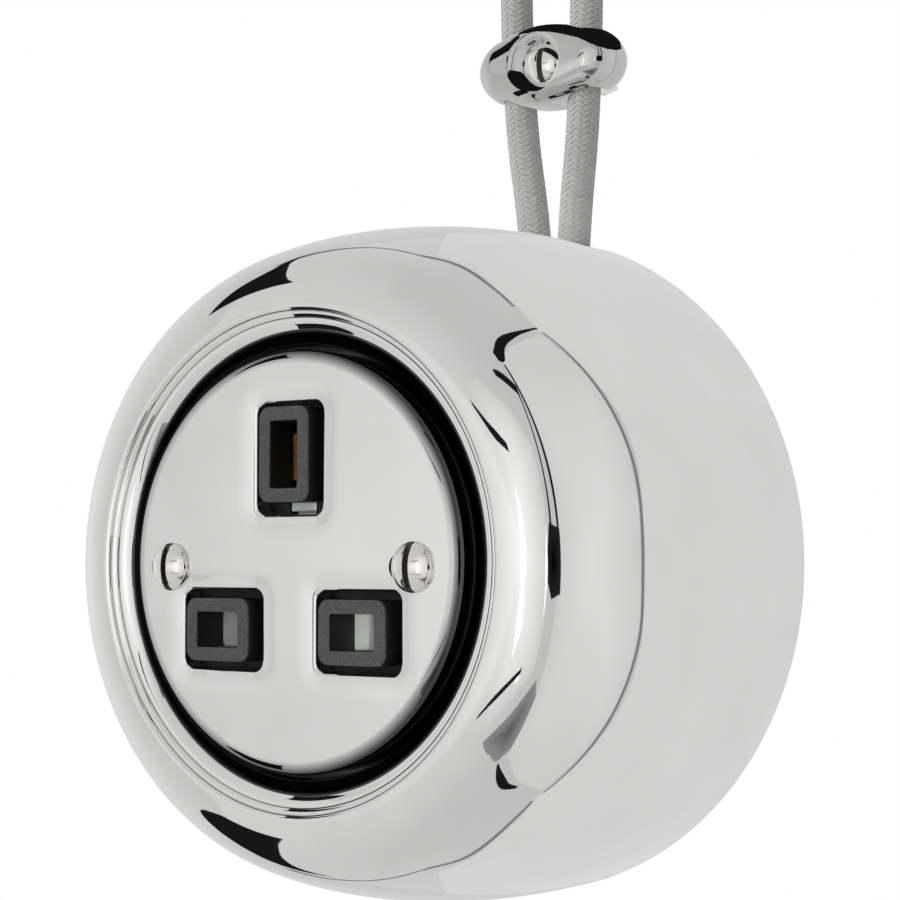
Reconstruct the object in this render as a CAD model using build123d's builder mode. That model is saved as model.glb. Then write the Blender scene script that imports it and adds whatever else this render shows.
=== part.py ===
# Round porcelain surface socket: a drum fixed to the wall, a three-pin outlet with a shutter,
# and two braided cables that a porcelain clip holds above the drum. Sizes are in millimetres.
# X points right, Z up and Y back into the wall. Depths count from the wall plane to the front.
import os
from math import cos, pi, radians, sin

from build123d import *

os.makedirs("parts", exist_ok=True)

# Porcelain drum
drum_radius = 46.7
drum_depth = 50.2
drum_wall = 5.5
foot_depth = 5.0
foot_round = 0.8
shoulder_inset = 5.4
shoulder_drop = 7.1
shoulder_lean = 19.5
flank_handle = 12.0
brow_handle = 5.0
crest_handle = 4.8
cavity_round = 4.0

# Recess, its stepped ring and the shelf that carries the plate
recess_radius = 29.0
lip_drop = 2.3
funnel_width = 1.7
funnel_fall = 1.9
land_width = 1.85
land_rise = 1.2
land_crown = 0.3
bead_width = 0.85
bead_rise = 0.5
bead_crown = 0.3
crest_roll = 0.7
shelf_thickness = 5.0
shelf_width = 5.8

# Cover plate
plate_gap = 2.2
plate_proud = 0.1
plate_height = 7.3
plate_thickness = 3.0
plate_crown = 0.25
plate_edge_round = 1.5
skirt_thickness = 3.4
window_gap_x = 1.4
window_gap_z = 1.1
earth_window_drop = 0.5
window_corner = 1.4
screw_pitch = 40.0
screw_drop = 0.7
plate_slot_length = 5.7
plate_slot_height = 3.6
plate_slot_shift = 0.9
spot_face_radius = 3.3
spot_face_drop = 0.35

# Plate screws
plate_head_radius = 3.1
plate_head_rim = 0.5
plate_head_height = 2.0
plate_shank_radius = 1.7
plate_shank_length = 16.0
screw_slot_width = 0.9
screw_slot_depth = 1.0

# Pin layout of the three-pin outlet
pin_spread = 22.23
pin_drop = 22.23
earth_height = 13.49
earth_slot_width = 4.6
earth_slot_height = 8.6
line_slot_width = 7.1
line_slot_height = 4.6
slot_corner = 0.3
slot_relief = 0.65

# Outlet mouldings
sleeve_wall = 1.72
sleeve_proud = 0.8
sleeve_corner = 1.5
front_gap = 0.15
front_wall = 1.1
module_gap = 0.4
cap_wall = 1.1
cap_skirt = 10.0
moulding_fit = 0.15
module_back = 20.0
boss_offset = 6.0
boss_radius = 2.6

# Shutter and spring
shutter_thickness = 1.75
shutter_clearance = 0.15
shutter_lap = 0.2
shutter_travel = 5.0
shutter_corner = 1.0
stem_width = 3.9
stem_top = 9.3
tab_low = 6.4
tab_height = 1.2
tab_gap = 0.05
ramp_width = 2.8
ramp_rise = 4.9
ramp_nose = 0.8
peg_radius = 0.5
peg_length = 1.6
spring_wire = 0.3
spring_radius = 0.8
spring_turns = 9

# Contacts, terminals and terminal screws
contact_gauge = 0.6
contact_width = 6.0
contact_grip = 3.6
contact_flare = 0.65
earth_flare = 1.2
contact_bow = 0.2
contact_lip = 3.0
pocket_fit = 0.2
terminal_width = 7.6
terminal_height = 6.4
terminal_depth = 6.4
terminal_inset = 0.6
wire_hole_radius = 1.6
wire_slot_width = 3.8
pinch_radius = 1.45
pinch_proud = 1.2
thread_clearance = 0.05

# Mounting bridge, its pillars and the screws that hold the outlet
bridge_gauge = 1.5
bridge_width = 11.4
bridge_end_gap = 3.2
bridge_bend = 1.8
riser_clearance = 1.45
wall_hole_spacing = 60.3
wall_hole_radius = 2.25
pillar_radius = 2.8
pillar_clearance = 0.5
pillar_stop = 0.8
pillar_thread = 16.5
rivet_radius = 2.0
socket_screw_radius = 1.25
socket_screw_clearance = 0.25
socket_head_radius = 2.4
socket_head_height = 1.6
socket_screw_end = 2.0

# Cables, their notch and bush, and the stripped ends
cable_radius = 2.35
cable_depth = 5.0
cable_bend = 40.0
left_entry_x = 7.6
left_clip_x = 3.8
right_entry_x = 13.1
right_clip_x = 15.8
cable_start = 33.0
cable_entry_height = 43.0
cable_bend_height = 66.5
cable_top = 86.0
notch_cheek = 1.6
notch_roof = 1.0
notch_corner = 3.0
bush_clearance = 0.1
bush_inset = 1.2
sleeve_lap = 2.0
sleeve_skin = 0.35
sleeve_length = 6.0
core_radius = 0.75
core_circle = 1.05
core_length = 7.0
ferrule_collar_radius = 0.86
ferrule_collar = 1.6
ferrule_radius = 0.55
ferrule_length = 5.0
lead_bend = 6.0
lead_spread = 2.0
lead_pair_gap = 0.1
lead_lap = 1.2
earth_lead_fall = 6.6
earth_lead_top = 27.5
live_lead_fall = 6.0
live_lead_depth = 11.0
live_lead_turn = 17.0
neutral_lead_fall = 5.0
neutral_lead_depth = 6.0
neutral_lead_turn = 8.0
lead_lower_turn = -19.0
lead_foot = -28.0

# Porcelain cable clip and its screw
clip_x = 9.8
clip_height = 69.8
clip_span = 23.0
clip_depth = 10.0
clip_lobe = 4.2
clip_boss = 5.75
clip_front_round = 4.0
clip_back_round = 0.6
clip_channel_fit = 0.4
bowl_radius = 4.35
bowl_seat_radius = 2.6
bowl_depth = 3.4
clip_hole_radius = 1.8
clip_head_radius = 2.5
clip_head_rim = 0.4
clip_head_height = 1.6
clip_shank_radius = 1.6
clip_shank_length = 18.5
clip_point = 3.0

# Depths and radii worked out from the driving sizes
shoulder_radius = drum_radius - shoulder_inset
shoulder_depth = drum_depth - shoulder_drop
lip_depth = drum_depth - lip_drop
bead_foot_radius = recess_radius + land_width
bead_foot_depth = lip_depth + land_rise
groove_radius = bead_foot_radius + bead_width
groove_depth = bead_foot_depth + bead_rise
crest_radius = groove_radius + crest_roll
plate_face = drum_depth + plate_proud
shelf_depth = plate_face - plate_height
shelf_back = shelf_depth - shelf_thickness
shelf_radius = recess_radius - shelf_width
cavity_radius = drum_radius - drum_wall
cavity_front_radius = shoulder_radius - drum_wall
plate_radius = recess_radius - plate_gap
plate_back = plate_face - plate_thickness
skirt_radius = plate_radius - skirt_thickness
screw_seat = plate_face - spot_face_drop
sleeve_face = plate_face + sleeve_proud
line_height = earth_height - pin_drop
line_x = pin_spread / 2
module_front = plate_back - front_gap
front_inside = module_front - front_wall
module_radius = shelf_radius - module_gap
relief_radius = pillar_radius + pillar_clearance
base_front = front_inside - shutter_thickness - 2 * shutter_clearance
seam_depth = module_front - cap_skirt
terminal_back = module_back + terminal_inset
terminal_front = terminal_back + terminal_depth
bridge_platform = module_back - bridge_gauge
bridge_reach = cavity_radius - bridge_end_gap
pillar_top = plate_back - pillar_stop
shutter_back = base_front + shutter_clearance
shutter_front = shutter_back + shutter_thickness
blade_low = line_height - line_slot_height / 2 - shutter_lap
blade_high = line_height + line_slot_height / 2 + shutter_lap
blade_half = line_x + line_slot_width / 2 + shutter_lap
clip_lobe_offset = clip_span / 2 - clip_lobe
cable_lanes = [("cable_left", left_entry_x, left_clip_x), ("cable_right", right_entry_x, right_clip_x)]

# Section plane through the axis: local x is the radius, local y the depth.
section = Plane(origin=(0, 0, 0), x_dir=(1, 0, 0), z_dir=(0, 0, -1))


def at_depth(depth):
    """Plane parallel to the wall: local x points right, local y up, and extrusions go forwards."""
    return Plane.XZ.offset(depth)


def axis_at(x, z):
    """Axis through the front at a place on the wall plane."""
    return Axis((x, 0, z), (0, 1, 0))


def section_at(x, z):
    """Section plane whose local x starts on the axis at a place on the wall plane."""
    return Plane(origin=(x, 0, z), x_dir=(1, 0, 0), z_dir=(0, 0, -1))


def save(piece, name):
    """Label a finished piece and write it to its own file."""
    piece.part.label = name
    export_step(piece.part, f"parts/{name}.step")


def dome_screw(x, z, seat, head_radius, rim, height, shank_radius, shank_length, point):
    """Make a slotted dome-head screw that points back to the wall from its seat."""
    tip = seat - shank_length
    with BuildPart() as screw:
        with BuildSketch(section_at(x, z)):
            with BuildLine():
                dome = TangentArc((0, seat + height), (head_radius, seat + rim), tangent=(1, 0))
                Polyline(
                    dome @ 1,
                    (head_radius, seat),
                    (shank_radius, seat),
                    (shank_radius, tip + point),
                    (shank_radius / 4, tip),
                    (0, tip),
                    dome @ 0,
                )
            make_face()
        revolve(axis=axis_at(x, z))
        with BuildSketch(at_depth(seat + height - screw_slot_depth)):
            with Locations((x, z)):
                Rectangle(screw_slot_width, 2 * head_radius)
        extrude(amount=screw_slot_depth, mode=Mode.SUBTRACT)
    return screw.part


# Porcelain drum: one revolved wall with the ring, the recess and the shelf, and a cable notch on top
lean = radians(shoulder_lean)
lean_x, lean_y = sin(lean), cos(lean)
notch_x = (left_entry_x + right_entry_x) / 2
notch_width = right_entry_x - left_entry_x + 2 * (cable_radius + notch_cheek)
notch_depth = cable_depth + cable_radius + notch_roof
with BuildPart() as porcelain_body:
    with BuildSketch(section) as drum_section:
        with BuildLine():
            foot = Polyline((cavity_radius, 0), (drum_radius, 0), (drum_radius, foot_depth))
            flank = Bezier(
                foot @ 1,
                (drum_radius, foot_depth + flank_handle),
                (shoulder_radius + flank_handle * lean_x, shoulder_depth - flank_handle * lean_y),
                (shoulder_radius, shoulder_depth),
            )
            brow = Bezier(
                flank @ 1,
                (shoulder_radius - brow_handle * lean_x, shoulder_depth + brow_handle * lean_y),
                (crest_radius + crest_handle, drum_depth),
                (crest_radius, drum_depth),
            )
            roll = TangentArc(brow @ 1, (groove_radius, groove_depth), tangent=(-1, 0))
            bead = ThreePointArc(
                roll @ 1,
                ((groove_radius + bead_foot_radius) / 2, (groove_depth + bead_foot_depth) / 2 + bead_crown),
                (bead_foot_radius, bead_foot_depth),
            )
            land = ThreePointArc(
                bead @ 1,
                (recess_radius + land_width / 2, lip_depth + land_rise / 2 + land_crown),
                (recess_radius, lip_depth),
            )
            Polyline(
                land @ 1,
                (recess_radius - funnel_width, lip_depth - funnel_fall),
                (recess_radius - funnel_width, shelf_depth),
                (shelf_radius, shelf_depth),
                (shelf_radius, shelf_back),
                (cavity_front_radius, shelf_back),
                (cavity_radius, foot_depth),
                (cavity_radius, 0),
            )
        make_face()
        corners = drum_section.vertices()
        fillet(corners.sort_by_distance((drum_radius, 0))[0], foot_round)
        corners = drum_section.vertices()
        fillet(corners.sort_by_distance((cavity_front_radius, shelf_back))[0], cavity_round)
    revolve(axis=Axis.Y)
    with BuildSketch(Plane.XY.offset(cavity_front_radius)) as notch:
        with Locations((notch_x, 0)):
            Rectangle(notch_width, notch_depth, align=(Align.CENTER, Align.MAX))
        fillet(notch.vertices().group_by(Axis.Y)[0], notch_corner)
    extrude(amount=drum_radius, mode=Mode.SUBTRACT)
save(porcelain_body, "porcelain_body")

# Cover plate: a shallow crowned dish standing on the shelf, with three windows and two screw slots
earth_sleeve_width = earth_slot_width + 2 * sleeve_wall
earth_sleeve_height = earth_slot_height + 2 * sleeve_wall
line_sleeve_width = line_slot_width + 2 * sleeve_wall
line_sleeve_height = line_slot_height + 2 * sleeve_wall
line_places = [(line_x, line_height), (-line_x, line_height)]
screw_places = [(screw_pitch / 2, -screw_drop), (-screw_pitch / 2, -screw_drop)]
with BuildPart() as cover_plate:
    with BuildSketch(section) as plate_section:
        with BuildLine():
            crown = TangentArc((0, plate_face), (plate_radius, plate_face - plate_crown), tangent=(1, 0))
            Polyline(
                crown @ 1,
                (plate_radius, shelf_depth),
                (skirt_radius, shelf_depth),
                (skirt_radius, plate_back),
                (0, plate_back),
                crown @ 0,
            )
        make_face()
        rim_corner = plate_section.vertices().sort_by_distance((plate_radius, plate_face))[0]
        fillet(rim_corner, plate_edge_round)
    revolve(axis=Axis.Y)
    with BuildSketch(at_depth(plate_back)):
        with Locations((0, earth_height - earth_window_drop)):
            RectangleRounded(
                earth_sleeve_width + 2 * window_gap_x,
                earth_sleeve_height + 2 * window_gap_z,
                window_corner,
            )
        with Locations(*line_places):
            RectangleRounded(
                line_sleeve_width + 2 * window_gap_x,
                line_sleeve_height + 2 * window_gap_z,
                window_corner,
            )
        with Locations(*[(x - plate_slot_shift, z) for x, z in screw_places]):
            SlotOverall(plate_slot_length, plate_slot_height)
    extrude(amount=2 * plate_thickness, mode=Mode.SUBTRACT)
    with BuildSketch(at_depth(screw_seat)):
        with Locations(*screw_places):
            Circle(spot_face_radius)
    extrude(amount=plate_thickness, mode=Mode.SUBTRACT)
save(cover_plate, "cover_plate")

# Plate screws: slotted dome heads in the plate's spot faces
right_screw = dome_screw(
    screw_pitch / 2,
    -screw_drop,
    screw_seat,
    plate_head_radius,
    plate_head_rim,
    plate_head_height,
    plate_shank_radius,
    plate_shank_length,
    plate_shank_radius / 2,
)
with BuildPart() as plate_screws:
    add(right_screw)
    mirror(about=Plane.YZ)
save(plate_screws, "plate_screws")


def module_outline(radius, relief):
    """Disc of the outlet with two round reliefs that clear the bridge pillars."""
    Circle(radius)
    with Locations(*screw_places):
        Circle(relief, mode=Mode.SUBTRACT)


# Front moulding: a cap with three sleeves, the shutter's guide slot and two screw bosses
boss_places = [(boss_offset, 0), (-boss_offset, 0)]
boss_back = seam_depth + moulding_fit
with BuildPart() as socket_front:
    with BuildSketch(at_depth(seam_depth)):
        module_outline(module_radius, relief_radius)
    extrude(amount=module_front - seam_depth)
    with BuildSketch(at_depth(seam_depth)):
        module_outline(module_radius - cap_wall, relief_radius + cap_wall)
    extrude(amount=front_inside - seam_depth, mode=Mode.SUBTRACT)
    with BuildSketch(at_depth(boss_back)):
        with Locations(*boss_places):
            Circle(boss_radius)
    extrude(amount=front_inside - boss_back)
    with BuildSketch(at_depth(module_front)):
        with Locations((0, earth_height)):
            RectangleRounded(earth_sleeve_width, earth_sleeve_height, sleeve_corner)
        with Locations(*line_places):
            RectangleRounded(line_sleeve_width, line_sleeve_height, sleeve_corner)
    extrude(amount=sleeve_face - module_front)
    with BuildSketch(at_depth(front_inside)):
        with Locations((0, earth_height)):
            RectangleRounded(earth_slot_width, earth_slot_height, slot_corner)
        with Locations(*line_places):
            RectangleRounded(line_slot_width, line_slot_height, slot_corner)
    extrude(amount=sleeve_face - front_inside, mode=Mode.SUBTRACT)
    with BuildSketch(at_depth(front_inside)):
        with Locations((0, earth_height)):
            Rectangle(earth_slot_width + 2 * slot_relief, earth_slot_height)
    extrude(amount=slot_relief, taper=45, mode=Mode.SUBTRACT)
    with BuildSketch(at_depth(front_inside)):
        with Locations((0, tab_low - shutter_travel - pocket_fit)):
            Rectangle(
                stem_width + 2 * pocket_fit,
                tab_height + shutter_travel + 2 * pocket_fit,
                align=(Align.CENTER, Align.MIN),
            )
    extrude(amount=front_wall, mode=Mode.SUBTRACT)
    with BuildSketch(at_depth(boss_back)):
        with Locations(*boss_places):
            Circle(socket_screw_radius + thread_clearance)
    extrude(amount=front_inside - boss_back, mode=Mode.SUBTRACT)
save(socket_front, "socket_front")

# Base moulding: contact and terminal pockets right through, wire slots and the shutter's ramp slot
base_front_radius = module_radius - cap_wall - moulding_fit
pocket_size = contact_width + 2 * pocket_fit
contact_places = [(0, earth_height), *line_places]
with BuildPart() as socket_base:
    with BuildSketch(at_depth(module_back)):
        module_outline(module_radius, relief_radius)
    extrude(amount=seam_depth - module_back)
    with BuildSketch(at_depth(seam_depth)):
        module_outline(base_front_radius, relief_radius + cap_wall + moulding_fit)
    extrude(amount=base_front - seam_depth)
    with BuildSketch(at_depth(module_back)):
        with Locations(*contact_places):
            Rectangle(pocket_size, pocket_size)
    extrude(amount=base_front - module_back, mode=Mode.SUBTRACT)
    with BuildSketch(at_depth(module_back)):
        with Locations(*contact_places):
            Rectangle(terminal_width + 2 * pocket_fit, terminal_height + 2 * pocket_fit)
        with Locations((0, earth_height)):
            Rectangle(wire_slot_width, module_radius, align=(Align.CENTER, Align.MIN))
        with Locations(*line_places):
            Rectangle(wire_slot_width, module_radius, align=(Align.CENTER, Align.MAX))
    extrude(amount=terminal_front - module_back, mode=Mode.SUBTRACT)
    with BuildSketch(at_depth(base_front - ramp_rise - ramp_nose)):
        with Locations((0, earth_height)):
            Rectangle(
                ramp_width + 2 * pocket_fit,
                earth_height - stem_top + 2 * shutter_travel,
                align=(Align.CENTER, Align.MAX),
            )
    extrude(amount=ramp_rise + ramp_nose, mode=Mode.SUBTRACT)
    with BuildSketch(at_depth(seam_depth)):
        with Locations(*boss_places):
            Circle(boss_radius + moulding_fit)
    extrude(amount=base_front - seam_depth, mode=Mode.SUBTRACT)
    with BuildSketch(at_depth(module_back)):
        with Locations(*boss_places):
            Circle(socket_screw_radius + socket_screw_clearance)
    extrude(amount=seam_depth - module_back, mode=Mode.SUBTRACT)
save(socket_base, "socket_base")

# Shutter: a bar across both line slots, a stem with a guide tab, and a ramp for the earth pin
ramp_top = stem_top + ramp_rise
ramp_back = shutter_front - ramp_rise
peg_depth = (shutter_front + shutter_back) / 2
with BuildPart() as shutter:
    with BuildSketch(at_depth(shutter_back)) as shutter_bar:
        with Locations((0, blade_low)):
            Rectangle(2 * blade_half, blade_high - blade_low, align=(Align.CENTER, Align.MIN))
        fillet(shutter_bar.vertices().group_by(Axis.Y)[0], shutter_corner)
        with Locations((0, blade_low)):
            Rectangle(stem_width, stem_top - blade_low, align=(Align.CENTER, Align.MIN))
    extrude(amount=shutter_thickness)
    with BuildSketch(at_depth(shutter_front)):
        with Locations((0, tab_low)):
            Rectangle(stem_width, tab_height, align=(Align.CENTER, Align.MIN))
    extrude(amount=shutter_clearance + front_wall - tab_gap)
    with BuildSketch(Plane.YZ):
        with BuildLine():
            Polyline(
                (-shutter_front, stem_top - ramp_nose),
                (-shutter_front, stem_top),
                (-ramp_back, ramp_top),
                (-ramp_back + ramp_nose, ramp_top),
                (-ramp_back + ramp_nose, ramp_top - ramp_nose),
                (-shutter_back, stem_top - 2 * ramp_nose),
                close=True,
            )
        make_face()
    extrude(amount=ramp_width / 2, both=True)
    with BuildSketch(Plane.XY.offset(blade_low)):
        with Locations((0, -peg_depth)):
            Circle(peg_radius)
    extrude(amount=-peg_length)
save(shutter, "shutter")

# Shutter spring: a compression coil between the shutter bar and the cap's lower wall
spring_foot = -(module_radius - cap_wall)
spring_end = spring_wire / 2
spring_length = blade_low - spring_foot - 2 * spring_end
with BuildPart() as shutter_spring:
    with BuildLine() as coil:
        Helix(
            pitch=spring_length / spring_turns,
            height=spring_length,
            radius=spring_radius,
            center=(0, -peg_depth, spring_foot + spring_end),
        )
    with BuildSketch(Plane(origin=coil.line @ 0, z_dir=coil.line % 0)):
        Circle(spring_wire / 2)
    sweep(is_frenet=True)
save(shutter_spring, "shutter_spring")


def contact_fold(tip, flare):
    """Middle line of a contact's folded strip: a back web and two leaves that bow in to the pin."""
    leaf = (contact_grip + contact_gauge) / 2
    web = terminal_front + contact_gauge / 2
    right_leaf = [
        (leaf + contact_bow, web),
        (leaf + contact_bow, web + (tip - web) / 2),
        (leaf, tip - contact_lip),
        (leaf + flare, tip),
    ]
    left_leaf = [(-x, depth) for x, depth in reversed(right_leaf)]
    return left_leaf + right_leaf


# Earth contact: leaves left and right of the pin, reaching up beside the shutter's ramp
earth_tip = shutter_front - contact_gauge
with BuildPart() as earth_contact:
    with BuildSketch(section_at(0, earth_height)):
        with BuildLine():
            FilletPolyline(*contact_fold(earth_tip, earth_flare), radius=contact_gauge)
        trace(line_width=contact_gauge)
    extrude(amount=contact_width / 2, both=True)
save(earth_contact, "earth_contact")

# Live and neutral contacts: leaves above and below the pin, ending behind the shutter
line_tip = base_front - contact_gauge
for name, contact_x in (("live_contact", line_x), ("neutral_contact", -line_x)):
    upright = Plane(origin=(contact_x, 0, line_height), x_dir=(0, 0, 1), z_dir=(1, 0, 0))
    with BuildPart() as line_contact:
        with BuildSketch(upright):
            with BuildLine():
                FilletPolyline(*contact_fold(line_tip, contact_flare), radius=contact_gauge)
            trace(line_width=contact_gauge)
        extrude(amount=contact_width / 2, both=True)
    save(line_contact, name)

# Terminals: brass blocks behind the contacts, with a wire hole and a tapped hole for the pinch screw
wire_depth = (terminal_back + terminal_front) / 2 + wire_hole_radius / 2
terminal_rows = [
    ("earth_terminal", 0, earth_height),
    ("live_terminal", line_x, line_height),
    ("neutral_terminal", -line_x, line_height),
]
for name, block_x, block_z in terminal_rows:
    with BuildPart() as terminal:
        with BuildSketch(at_depth(terminal_back)):
            with Locations((block_x, block_z)):
                Rectangle(terminal_width, terminal_height)
        extrude(amount=terminal_depth)
        with BuildSketch(Plane.XY.offset(block_z)):
            with Locations((block_x, -wire_depth)):
                Circle(wire_hole_radius)
        extrude(amount=terminal_height, both=True, mode=Mode.SUBTRACT)
        with BuildSketch(at_depth(terminal_back)):
            with Locations((block_x, block_z)):
                Circle(pinch_radius + thread_clearance)
        extrude(amount=wire_depth - terminal_back, mode=Mode.SUBTRACT)
    save(terminal, name)

# Terminal screws: slotted studs driven from the wall side until they press on the wires
pinch_back = terminal_back - pinch_proud
pair_offset = core_radius + lead_pair_gap / 2
lead_seat = ((wire_hole_radius - core_radius) ** 2 - pair_offset**2) ** 0.5 - thread_clearance / 2
lead_depth = wire_depth + lead_seat
pinch_length = lead_depth - core_radius - thread_clearance / 2 - pinch_back
with BuildPart() as terminal_screws:
    with BuildSketch(at_depth(pinch_back)):
        with Locations(*contact_places):
            Circle(pinch_radius)
    extrude(amount=pinch_length)
    with BuildSketch(at_depth(pinch_back)):
        with Locations(*contact_places):
            Rectangle(2 * pinch_radius, screw_slot_width / 2)
    extrude(amount=screw_slot_depth, mode=Mode.SUBTRACT)
save(terminal_screws, "terminal_screws")

# Mounting bridge: a folded steel strip, its feet on the wall and its platform behind the outlet
riser_x = module_radius + riser_clearance
strip_middle = bridge_gauge / 2
hole_places = [(wall_hole_spacing / 2, 0), (-wall_hole_spacing / 2, 0)]
with BuildPart() as mounting_bridge:
    with BuildSketch(section):
        with BuildLine():
            FilletPolyline(
                (-bridge_reach, strip_middle),
                (-riser_x, strip_middle),
                (-riser_x, bridge_platform + strip_middle),
                (riser_x, bridge_platform + strip_middle),
                (riser_x, strip_middle),
                (bridge_reach, strip_middle),
                radius=bridge_bend,
            )
        trace(line_width=bridge_gauge)
    extrude(amount=bridge_width / 2, both=True)
    fillet(mounting_bridge.edges().filter_by(Axis.Y).group_by(Axis.X)[0], bridge_width / 4)
    fillet(mounting_bridge.edges().filter_by(Axis.Y).group_by(Axis.X)[-1], bridge_width / 4)
    with BuildSketch(at_depth(0)):
        with Locations(*hole_places):
            Circle(wall_hole_radius)
    extrude(amount=bridge_gauge, mode=Mode.SUBTRACT)
    with BuildSketch(at_depth(bridge_platform)):
        with Locations(*screw_places):
            Circle(rivet_radius + thread_clearance)
        with Locations(*boss_places):
            Circle(socket_screw_radius + socket_screw_clearance)
    extrude(amount=bridge_gauge, mode=Mode.SUBTRACT)
save(mounting_bridge, "mounting_bridge")

# Bridge pillars: tapped brass posts riveted into the platform
with BuildPart() as bridge_pillars:
    with BuildSketch(at_depth(module_back)):
        with Locations(*screw_places):
            Circle(pillar_radius)
    extrude(amount=pillar_top - module_back)
    with BuildSketch(at_depth(bridge_platform)):
        with Locations(*screw_places):
            Circle(rivet_radius)
    extrude(amount=bridge_gauge)
    with BuildSketch(at_depth(pillar_top - pillar_thread)):
        with Locations(*screw_places):
            Circle(plate_shank_radius + thread_clearance)
    extrude(amount=pillar_thread, mode=Mode.SUBTRACT)
save(bridge_pillars, "bridge_pillars")

# Socket screws: from behind, through the platform and the base into the front moulding's bosses
with BuildPart() as socket_screws:
    with BuildSketch(at_depth(bridge_platform - socket_head_height)):
        with Locations(*boss_places):
            Circle(socket_head_radius)
    extrude(amount=socket_head_height)
    with BuildSketch(at_depth(bridge_platform)):
        with Locations(*boss_places):
            Circle(socket_screw_radius)
    extrude(amount=front_inside - socket_screw_end - bridge_platform)
    with BuildSketch(at_depth(bridge_platform - socket_head_height)):
        with Locations(*boss_places):
            Rectangle(2 * socket_head_radius, screw_slot_width)
    extrude(amount=screw_slot_depth, mode=Mode.SUBTRACT)
save(socket_screws, "socket_screws")


def cable_points(entry_x, lane_x):
    """Route of a cable: up inside the drum, through the bush to the clip, and on up the wall."""
    return [
        (entry_x, -cable_depth, cable_start),
        (entry_x, -cable_depth, cable_entry_height),
        (lane_x, -cable_depth, cable_bend_height),
        (lane_x, -cable_depth, cable_top),
    ]


# Cables: each bends a little in the bush and again inside the clip, with straight runs between
for name, entry_x, lane_x in cable_lanes:
    with BuildPart() as cable:
        with BuildLine():
            route = FilletPolyline(*cable_points(entry_x, lane_x), radius=cable_bend)
        with BuildSketch(Plane(origin=route @ 0, z_dir=route % 0)):
            Circle(cable_radius)
        sweep()
    print(name, "bend radii", cable_bend, cable_bend, "length", route.length)
    print(name, "volume", cable.part.volume, "section times length", pi * cable_radius**2 * route.length)
    save(cable, name)

# Leads: from each cable's inner end three insulated cores run behind the outlet to the terminals,
# where the live and neutral ones turn up from below and the earth ones come down from above
earth_end = earth_height + terminal_height / 2 + lead_lap
line_end = line_height - terminal_height / 2 - lead_lap


def lead_points(name, start_x, side):
    """Route of one core; side is -1 for the left cable and 1 for the right."""
    aside = core_circle * cos(pi / 6)
    ahead = -cable_depth - core_circle * sin(pi / 6)
    if name == "earth_leads":
        end_x = side * pair_offset
        return [
            (start_x - aside, ahead, cable_start),
            (start_x - aside, ahead, cable_start - earth_lead_fall),
            (end_x, -lead_depth, earth_lead_top),
            (end_x, -lead_depth, earth_end),
        ]
    if name == "live_leads":
        first = (start_x + aside, ahead)
        fall, depth, turn, block_x = live_lead_fall, live_lead_depth, live_lead_turn, line_x
    else:
        first = (start_x, core_circle - cable_depth)
        fall, depth, turn, block_x = neutral_lead_fall, neutral_lead_depth, neutral_lead_turn, -line_x
    run_x = block_x + side * lead_spread
    end_x = block_x + side * pair_offset
    return [
        (*first, cable_start),
        (*first, cable_start - fall),
        (run_x, -depth, turn),
        (run_x, -depth, lead_lower_turn),
        (end_x, -lead_depth, lead_foot),
        (end_x, -lead_depth, line_end),
    ]


for name in ("live_leads", "neutral_leads", "earth_leads"):
    with BuildPart() as leads:
        for start_x, side in ((left_entry_x, -1), (right_entry_x, 1)):
            with BuildLine():
                lead = FilletPolyline(*lead_points(name, start_x, side), radius=lead_bend)
            with BuildSketch(Plane(origin=lead @ 0, z_dir=lead % 0)):
                Circle(core_radius)
            sweep()
            print(name, "bend radius", lead_bend, "length", lead.length)
    save(leads, name)

# Lead ferrules: crimped on the leads' ends and clamped in the terminals' wire holes
with BuildPart() as lead_ferrules:
    for name, block_x, block_z in terminal_rows:
        end_z = earth_end if name == "earth_terminal" else line_end
        with BuildSketch(Plane.XY.offset(end_z)):
            with Locations((block_x - pair_offset, -lead_depth), (block_x + pair_offset, -lead_depth)):
                Circle(core_radius)
        extrude(amount=block_z - end_z)
save(lead_ferrules, "lead_ferrules")

# Cable bush: a rubber block that fills the drum's notch round both cables
with BuildPart() as cable_bush:
    with BuildSketch(at_depth(0)):
        Circle(drum_radius - bush_inset)
        Circle(cavity_radius, mode=Mode.SUBTRACT)
        with Locations((notch_x, drum_radius)):
            Rectangle(notch_width - 2 * bush_clearance, drum_radius, mode=Mode.INTERSECT)
    extrude(amount=notch_depth - bush_clearance)
    fillet(cable_bush.edges().filter_by(Axis.Z).group_by(Axis.Y)[0], notch_corner)
    for name, entry_x, lane_x in cable_lanes:
        with BuildLine():
            passage = FilletPolyline(*cable_points(entry_x, lane_x), radius=cable_bend)
        with BuildSketch(Plane(origin=passage @ 0, z_dir=passage % 0)):
            Circle(cable_radius + bush_clearance)
        sweep(mode=Mode.SUBTRACT)
save(cable_bush, "cable_bush")

# Stripped cable ends: a shrink sleeve on each cable, three cores and a crimped ferrule on each core
sleeve_foot = cable_top - sleeve_lap
sleeve_top = sleeve_foot + sleeve_length
lane_places = [(lane_x, -cable_depth) for name, entry_x, lane_x in cable_lanes]
with BuildPart() as end_sleeves:
    with BuildSketch(Plane.XY.offset(sleeve_foot)):
        with Locations(*lane_places):
            Circle(cable_radius + sleeve_skin)
    extrude(amount=sleeve_length)
    fillet(end_sleeves.edges().group_by(Axis.Z)[-1], 2 * sleeve_skin)
    with BuildSketch(Plane.XY.offset(sleeve_foot)):
        with Locations(*lane_places):
            Circle(cable_radius + thread_clearance)
    extrude(amount=sleeve_lap, mode=Mode.SUBTRACT)
save(end_sleeves, "end_sleeves")

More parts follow.
